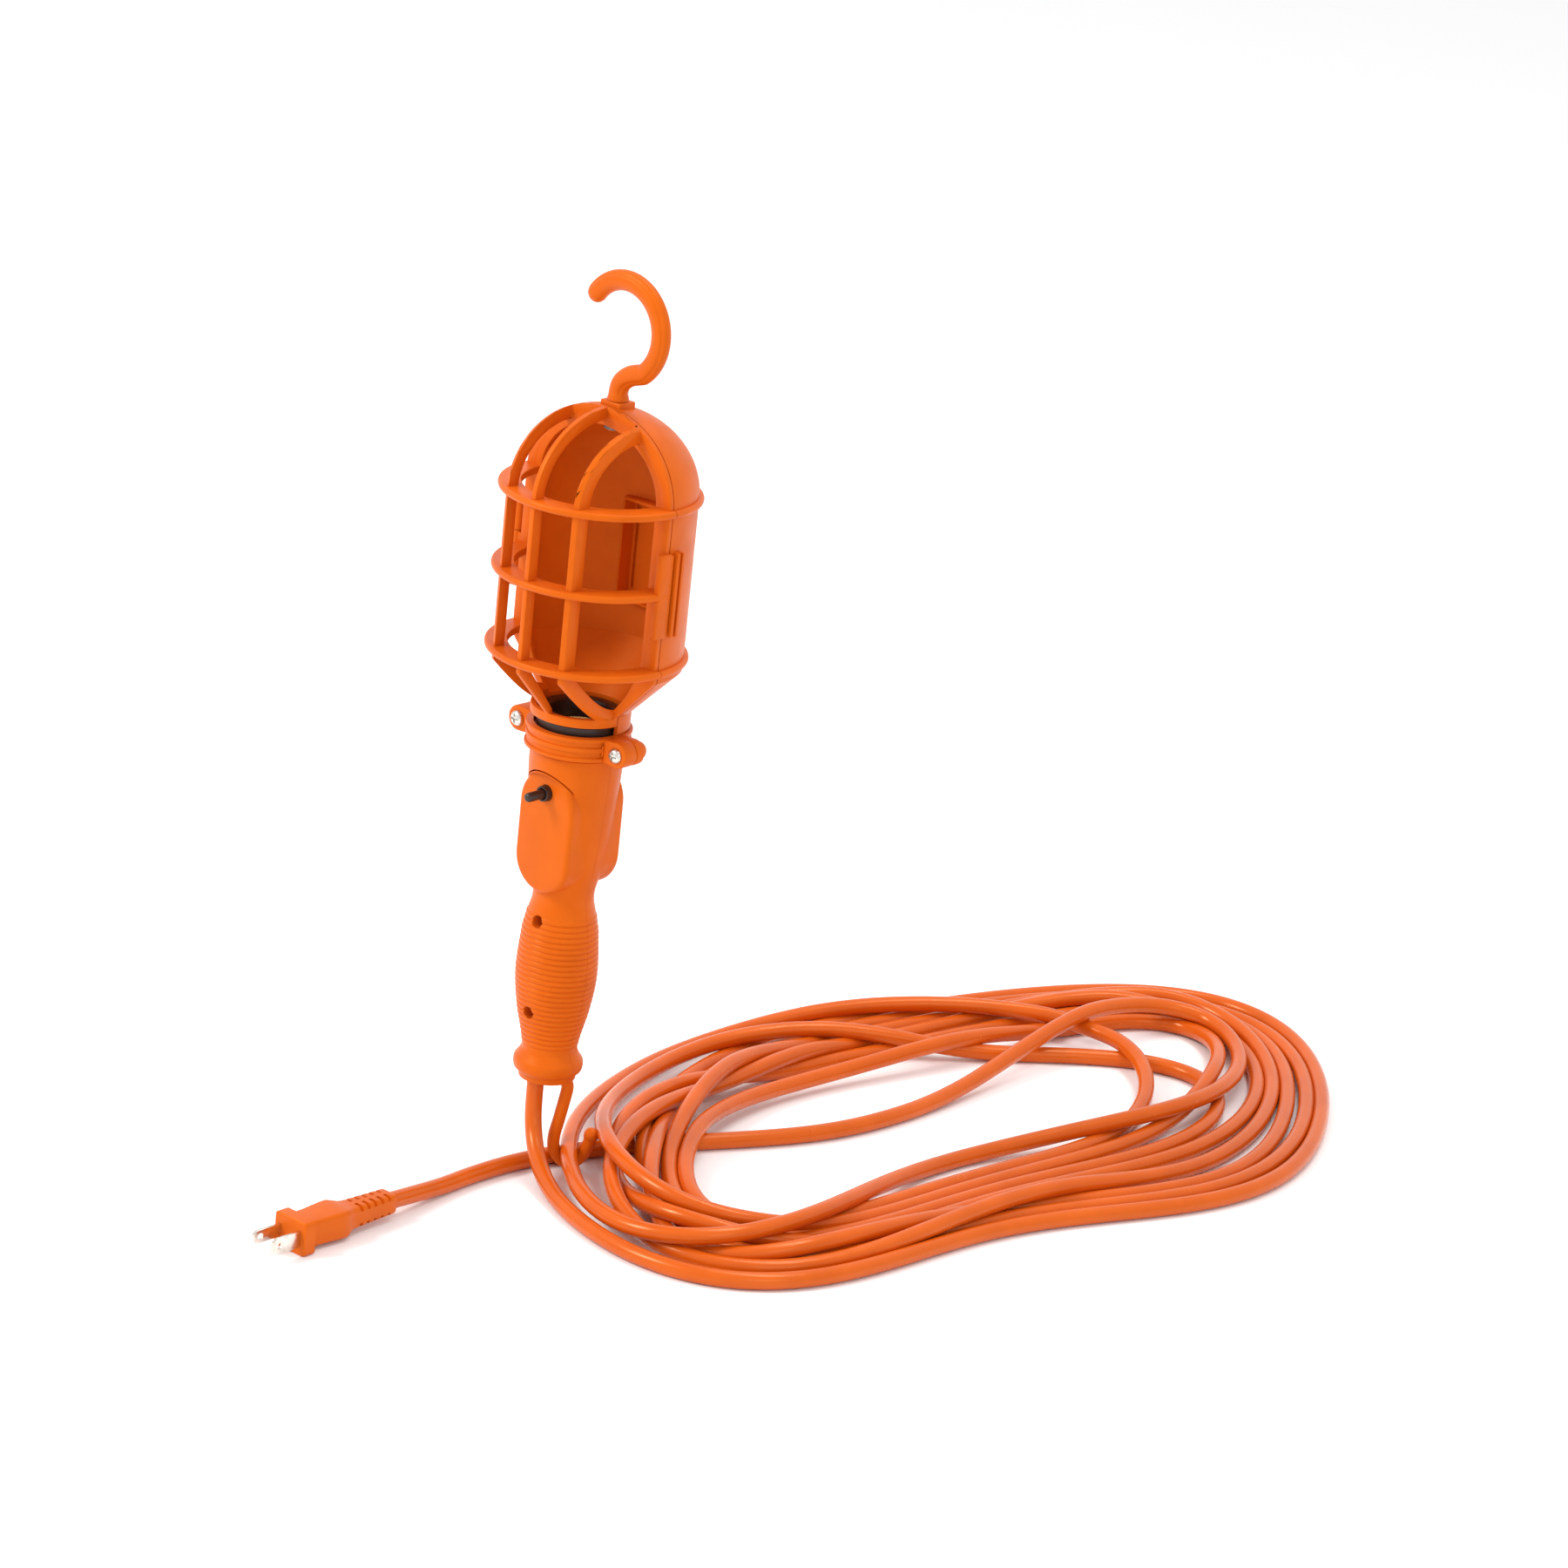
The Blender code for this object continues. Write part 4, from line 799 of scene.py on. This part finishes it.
def cage_outline(drop=0.0, steps=28):
    """The cage's capsule outline from the apex to the top of its cone, moved in by drop."""
    tall = DOME_APEX - DOME_FOOT
    out = []
    for a in arc(0, math.pi / 2, steps):
        out.append(((CAGE_R - drop) * math.sin(a), DOME_FOOT + (tall - drop) * math.cos(a)))
    slope = math.atan2(CAGE_R - NECK_R, CAGE_FOOT - NECK_TOP)
    shift = drop * math.tan((math.pi / 2 - slope) / 2)
    for share in (0.25, 0.5, 0.75):
        out.append((CAGE_R - drop, DOME_FOOT + (CAGE_FOOT + shift - DOME_FOOT) * share))
    out.append((CAGE_R - drop, CAGE_FOOT + shift))
    return out


def ring_bead(z, inner, sign):
    """Half a flat ring with a rounded rim, on one side of the parting plane."""
    t, round_in = RING_THICK / 2, 1.3
    rim = [(RING_R - round_in * (1 - math.cos(a)), z + t * math.sin(a))
           for a in arc(math.pi / 2, -math.pi / 2, 10)]
    profile = ([(inner, z + t - 0.4), (inner + 0.4, z + t)] + rim
               + [(inner + 0.4, z - t), (inner, z - t + 0.4)])
    bead = turned("bead", profile, steps=144, ring=True)
    near, far = sorted((sign * 0.16, sign * PARTING))
    return keep(bead, box("half", (-PARTING, near, 150), (PARTING, far, 340)))


def make_guard():
    """The front grille: a flat arch with upright bars standing on it, three flat rings and a neck."""
    outer = cage_outline() + [(NECK_R, NECK_TOP), (NECK_R, NECK_FOOT)]
    inner = cage_outline(RIB_REACH) + [(20.3, 183.4), (20.3, NECK_FOOT)]
    wall = turned("wall", outer + inner[::-1], steps=144)
    front, side = -0.14, RIB_THICK / 2
    lattice = box("flange", (-PARTING, -FLANGE_DEPTH, 170), (PARTING, front, 330))
    bars = [box("rib", (x - side, -PARTING, 170), (x + side, front - 0.01, 330)) for x in RIB_X]
    bars.append(box("neck", (-PARTING - 1, -PARTING - 1, 177.0),
                    (PARTING + 1, front - 0.03, NECK_TOP)))
    join(lattice, *bars)
    keep(wall, lattice)
    thin_out(wall.data)
    rounded(wall, 0.4, 2, 40, clamp=False)
    buried = cage_outline(1.0) + [(NECK_R - 0.8, NECK_TOP)]
    web = turned("web", buried + cage_outline(RING_DEPTH)[::-1], steps=144)
    keep(web, box("slab", (-PARTING, 0.06 - FLANGE_DEPTH, 170), (PARTING, front - 0.06, 330)))
    thin_out(web.data)
    rounded(web, 0.3, 2, 40, clamp=False)
    rings = [ring_bead(z, CAGE_R - RING_DEPTH + 0.2, -1) for z in RING_Z]
    foot, top = HINGE_FOOT + KNUCKLE + GAP, HINGE_TOP - KNUCKLE - GAP
    middle = rod("knuckle", HINGE_R, foot, top, "Z", (HINGE_X, 0))
    leaf = box("leaf", (HINGE_X - 0.4, -2.4, HINGE_FOOT + KNUCKLE + 1),
               (-42.5, -0.6, HINGE_TOP - KNUCKLE - 1), 0.3)
    tongue = box("tongue", (CAGE_R - 1.5, -6.6, HINGE_FOOT), (CAGE_R + 1.9, -0.15, HINGE_TOP), 0.5, 3)
    lip = box("lip", (CAGE_R + 0.6, -2.6, HINGE_FOOT + 0.8), (CAGE_R + 1.6, 1.5, HINGE_TOP - 0.8),
              0.25)
    join(middle, leaf)
    trims = [sleeve("relief", 0.5, HINGE_R + 0.5, low, high, "Z", (HINGE_X, 0))
             for low, high in ((HINGE_FOOT - 1, foot), (top, HINGE_TOP + 1))]
    cut(middle, rod("pin_hole", PIN_R + 0.25, 200, 300, "Z", (HINGE_X, 0)), *trims)
    wall = merge("cage", wall, web, middle, join(tongue, lip), *rings)
    place(wall, "cage_grille", "guard", ["guard_grille"], ORANGE)


def make_hinge_pin():
    profile = [(0, HINGE_TOP + 1.6), (1.6, HINGE_TOP + 1.6), (2.0, HINGE_TOP + 1.3),
               (2.2, HINGE_TOP + GAP),
               (PIN_R, HINGE_TOP + GAP), (PIN_R, HINGE_FOOT - 0.6), (0.7, HINGE_FOOT - 1.2),
               (0, HINGE_FOOT - 1.2)]
    place(turned("pin", profile, at=(HINGE_X, 0, 0), steps=40), "hinge_rod", "lamp", ["hinge_pin"],
          ZINC)


def make_reflector():
    outer = cage_outline() + [(NECK_R, NECK_TOP), (NECK_R, 174.0), (22.2, 173.4), (22.2, 162.4)]
    inner = cage_outline(SHELL_WALL) + [(21.0, 181.0), (20.9, 162.4)]
    shell = turned("shell", outer + inner[::-1], steps=144)
    rear = 0.14
    keep(shell, box("rear_half", (-70, rear, 150), (70, 70, 340)))
    # A closed panel stands on the back, is hollowed from inside and keeps a shallow slit and pocket.
    panel = box("panel", (-18.5, 36, 221), (18.5, 45.6, 270), 1.4, 4)
    boss = box("boss", (-6.0, rear + 0.4, 312.6), (6.0, BOSS_Y + 5.4, 323.4), 0.7, 3)
    ends = [(HINGE_FOOT, HINGE_FOOT + KNUCKLE), (HINGE_TOP - KNUCKLE, HINGE_TOP)]
    knuckles = [rod("knuckle", HINGE_R, low, high, "Z", (HINGE_X, 0)) for low, high in ends]
    leaves = [box("leaf", (HINGE_X - 0.4, 0.6, low + 0.8), (-42.3, 2.4, high - 0.8), 0.25)
              for low, high in ends]
    keeper = box("keeper", (CAGE_R - 2.0, 2.4, HINGE_FOOT), (CAGE_R + 3.0, 7.4, HINGE_TOP), 0.5, 3)
    join(shell, panel, boss, *leaves, *knuckles, keeper)
    join(shell, *[ring_bead(z, CAGE_R - 1.0, 1) for z in (RING_Z[0], RING_Z[2])])
    hollow = box("hollow", (-16.9, 34, 222.6), (16.9, 43.6, 268.4), 0.6, 3)
    slit = box("slit", (-15.6, 43, 226), (-14.0, 45.0, 262), 0.2)
    pocket = box("pocket", (-16.4, 43, 262.6), (-13.2, 45.0, 265.6), 0.3)
    groove = box("groove", (CAGE_R + 1.6, 4.0, HINGE_FOOT - 1), (CAGE_R + 4, 5.6, HINGE_TOP + 1))
    between_knuckles = sleeve("relief", 0.5, HINGE_R + 0.5, HINGE_FOOT + KNUCKLE, HINGE_TOP - KNUCKLE,
                              "Z", (HINGE_X, 0))
    pin_hole = rod("pin_hole", PIN_R + 0.25, 200, 300, "Z", (HINGE_X, 0))
    stem_hole = rod("stem_hole", 3.3, 300, 330, "Z", (0, BOSS_Y))
    cut(shell, hollow, slit, pocket, groove, between_knuckles, pin_hole, stem_hole)
    place(shell, "rear_shell", "lamp", ["reflector_shell"], ORANGE)


# ---- hooks -------------------------------------------------------------------------------------
HOOK_START, HOOK_END = -52.0, 145.0   # the two ends of the hanging hook's round, in degrees


def hook_section(radius):
    """The hanging hook's section: deeper than wide, with a mould line along its outer edge."""
    deep, wide, steps = radius * 1.07, radius * 0.90, 60
    line_depth, line_at, line_width = 0.085, 0.86, 0.13
    pts = []
    for k in range(steps):
        a = 2 * math.pi * k / steps - math.pi
        line = 1.0 - line_depth * math.exp(-((abs(a) - line_at) / line_width) ** 2)
        pts.append((deep * math.cos(a) * line, wide * math.sin(a) * line))
    return pts


def make_hanging_hook():
    loop = [(HOOK_R * math.cos(a), BOSS_Y, HOOK_CENTRE_Z + HOOK_R * math.sin(a))
            for a in arc(math.radians(HOOK_START), math.radians(HOOK_END), 56)]
    neck = [(0, BOSS_Y, 322.0), (-0.2, BOSS_Y, 326.5), (1.2, BOSS_Y, 331.6), (6.0, BOSS_Y, 335.8)]
    route = [Vector(p) for p in [*spline(neck + loop[:1], 10)[:-1], *loop]]
    hook = sweep("hook", route, hook_section(HOOK_ROD), (0, 1, 0))
    cut(hook, box("trim", (-10, -10, 300), (10, 20, 324.2)))
    collar = [(0, 327.5), (4.0, 327.5), (4.6, 325.6), (4.9, 324.6), (4.9, 323.7), (2.95, 323.7),
              (2.95, 309.6), (0, 309.6)]
    join(hook, turned("base", collar, at=(0, BOSS_Y, 0), steps=64))
    end = ball("tip", (0, 0, 0), 1.0, 20)
    squeeze = Matrix.Diagonal((HOOK_ROD * 1.03, HOOK_ROD * 0.885, HOOK_ROD * 1.03, 1))
    end.data.transform(Matrix.Translation(route[-1]) @ squeeze)
    join(hook, end)
    place(hook, "top_hook", "hook", ["hanging_hook"], ORANGE, 40.0)
    clip = sleeve("clip", 3.25, 5.2, 310.6, 312.3, "Z", (0, BOSS_Y))
    place(clip, "hook_clip", "hook", ["hook_retainer"], DULL_STEEL)


def make_cord_hook():
    route = [Vector(p) for p in spline(cord_hook_route(), 8)]
    turn = arc(0, 2 * math.pi, 32)[:-1]
    ring = [(CORD_HOOK_WIRE * math.cos(a), CORD_HOOK_WIRE * math.sin(a)) for a in turn]
    hook = sweep("hook", route, ring, (-0.637, 0.771, 0))
    head = [(0, 7.2), (3.3, 7.2), (3.7, 6.6), (3.7, 5.4), (3.0, 4.2), (2.9, 3.9), (2.9, 0.6),
            (0, 0.6)]
    join(hook, turned("head", head, at=(*CORD_HOOK_AT, 0), steps=48), ball("tip", route[-1], 3.6))
    place(hook, "foot_hook", "lower_hook", ["cord_hook"], ORANGE, 40.0)


# ---- plug --------------------------------------------------------------------------------------
PLUG_X, PLUG_Z, PLUG_FACE = 0.0, -37.8, -160.0
BLADE_PITCH, BLADE_HALF_THICK, BLADE_REACH, BLADE_TAPER = 12.7, 0.76, 16.9, 2.3
BLADE_HOLE_R, BLADE_HOLE_OUT = 1.6, 12.3
SLOT_COUNT, SLOT_START, SLOT_PITCH, SLOT_WIDE = 5, 38.0, 4.5, 1.9


def slab_outline(half_x, half_z, corner, steps=5):
    pts = []
    for sx, sz, start in ((1, 1, 0), (-1, 1, 90), (-1, -1, 180), (1, -1, 270)):
        for k in range(steps + 1):
            a = math.radians(start + 90 * k / steps)
            pts.append((sx * (half_x - corner) + corner * math.cos(a),
                        sz * (half_z - corner) + corner * math.sin(a)))
    return pts


def make_plug():
    """A moulded two-blade plug: a square face flange, a tapered body and a slotted strain relief."""
    stations = [(0.0, 9.3, 7.5, 1.5), (0.5, 9.9, 8.1, 1.8), (6.6, 9.9, 8.1, 1.8),
                (7.2, 9.3, 7.5, 1.8), (7.5, 7.4, 6.4, 1.8), (14.0, 7.6, 6.4, 1.8),
                (24.0, 8.6, 6.6, 2.0), (28.5, 8.9, 6.6, 2.2), (31.0, 7.6, 6.2, 2.4),
                (33.5, 6.5, 5.6, 2.4), (36.0, 6.2, 5.2, 2.2), (60.6, 5.3, 4.8, 2.0),
                (61.7, 4.9, 4.4, 1.8)]
    verts = []
    for y, half_x, half_z, corner in stations:
        verts += [(PLUG_X + a, PLUG_FACE + y, PLUG_Z + b)
                  for a, b in slab_outline(half_x, half_z, corner)]
    body = from_faces("plug", verts, loft_faces(len(stations), len(verts) // len(stations)))
    slots = []
    for k in range(SLOT_COUNT):
        y = PLUG_FACE + SLOT_START + SLOT_PITCH * k
        for side in (-1, 1):
            low, high = sorted((PLUG_X + side * 1.1, PLUG_X + side * 12.0))
            slots.append(box("slot", (low, y, PLUG_Z + 2.8), (high, y + SLOT_WIDE, PLUG_Z + 9), 0.3))
            slots.append(box("slot", (low, y, PLUG_Z - 9), (high, y + SLOT_WIDE, PLUG_Z - 2.8), 0.3))
    cut(body, *slots)
    place(body, "plug_moulding", "lamp", ["plug_body"], ORANGE)
    for name, node, side, tall in (("blade_wide", "plug_blade_wide", 1, 7.9),
                                   ("blade_narrow", "plug_blade_narrow", -1, 6.35)):
        x = PLUG_X + side * BLADE_PITCH / 2
        far = PLUG_FACE + 0.4
        top, start = tall / 2, BLADE_TAPER - BLADE_REACH
        tip = [(0, top), (start, top), (-BLADE_REACH, top - 1.5), (-BLADE_REACH, 1.5 - top),
           (start, -top), (0, -top)]
        outline = [(far + y, PLUG_Z + z) for y, z in tip]
        blade = prism(name, outline, x - BLADE_HALF_THICK, x + BLADE_HALF_THICK, "X")
        rounded(blade, 0.2, 2, 60)
        hole_at = (PLUG_FACE - BLADE_HOLE_OUT, PLUG_Z)
        cut(blade, rod("hole", BLADE_HOLE_R, x - 3, x + 3, "X", hole_at, 32))
        place(blade, name, "lamp", [node], NICKEL)


make_handle()
for screw_name, screw_node, screw_z in (("grip_screw_low", "handle_screw_lower", SCREW_Z[0]),
                                        ("grip_screw_high", "handle_screw_upper", SCREW_Z[1])):
    screw(screw_name, screw_node, 0, screw_z, -9.6 - GAP, 2.6, 1.4, 19.0)
for screw_name, screw_node, ear in (("ear_screw_left", "collar_screw_left", -1),
                                    ("ear_screw_right", "collar_screw_right", 1)):
    screw(screw_name, screw_node, ear * EAR_X, EAR_Z, -8.0 - GAP, 3.6, 1.45, 15.6)
make_collar("collar_front_half", "collar_front", -1, 20.9)
make_collar("collar_rear_half", "collar_rear", 1, 22.5)
make_socket()
make_switch()
make_guard()
make_hinge_pin()
make_reflector()
make_hanging_hook()
make_cord_hook()
make_plug()


# ---- CAD nodes that stay in view or inside -----------------------------------------------------
KEPT = {
    "socket_center_contact": BRASS, "terminal_screw_live": BRASS, "terminal_screw_neutral": BRASS,
    "switch_terminal_line": BRASS, "switch_terminal_load": BRASS,
    "switch_frame": PHENOLIC, "cord_grip": PHENOLIC,
    "wire_line": SLEEVE_DARK, "wire_load": SLEEVE_DARK, "wire_neutral": SLEEVE_PALE,
}
for node_name, finish in KEPT.items():
    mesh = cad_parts[node_name].data
    mesh.materials.clear()
    mesh.materials.append(finish)


# ---- floor and light ---------------------------------------------------------------------------
def make_stage():
    mesh = bpy.data.meshes.new("floor")
    half = 6.0                        # metres
    z = (TO_ROW @ Vector((0, 0, FLOOR))).z
    mesh.from_pydata([(-half, -half, z), (half, -half, z), (half, half, z), (-half, half, z)], [],
                     [(0, 1, 2, 3)])
    floor = bpy.data.objects.new("floor", mesh)
    mat, _, shader = shader_of("pale_floor")
    shader.inputs["Base Color"].default_value = (0.93, 0.93, 0.93, 1.0)
    shader.inputs["Roughness"].default_value = 0.9
    mesh.materials.append(mat)
    bpy.context.scene.collection.objects.link(floor)


def softbox(name, at, toward, size, power, colour=(1.0, 1.0, 1.0)):
    data = bpy.data.lights.new(name, "AREA")
    data.shape = "RECTANGLE"
    data.size, data.size_y = size
    data.energy = power
    data.color = colour
    lamp = bpy.data.objects.new(name, data)
    lamp.location = at
    lamp.rotation_mode = "QUATERNION"
    lamp.rotation_quaternion = (Vector(toward) - Vector(at)).to_track_quat("-Z", "Y")
    bpy.context.scene.collection.objects.link(lamp)


def make_light():
    world = bpy.data.worlds.new("studio")
    world.use_nodes = True
    world.node_tree.nodes["Background"].inputs["Color"].default_value = (1.0, 1.0, 1.0, 1.0)
    world.node_tree.nodes["Background"].inputs["Strength"].default_value = 0.95
    bpy.context.scene.world = world
    aim = (0.06, 0.1, -0.25)
    softbox("key", (-1.2, -1.9, 1.5), aim, (0.7, 1.1), 42.0)
    softbox("fill", (2.3, -0.9, 0.9), aim, (1.2, 1.2), 6.0)
    softbox("top", (0.2, 0.6, 2.0), aim, (1.6, 0.5), 18.0)


bpy.context.scene.view_settings.view_transform = "Standard"
make_stage()
make_light()
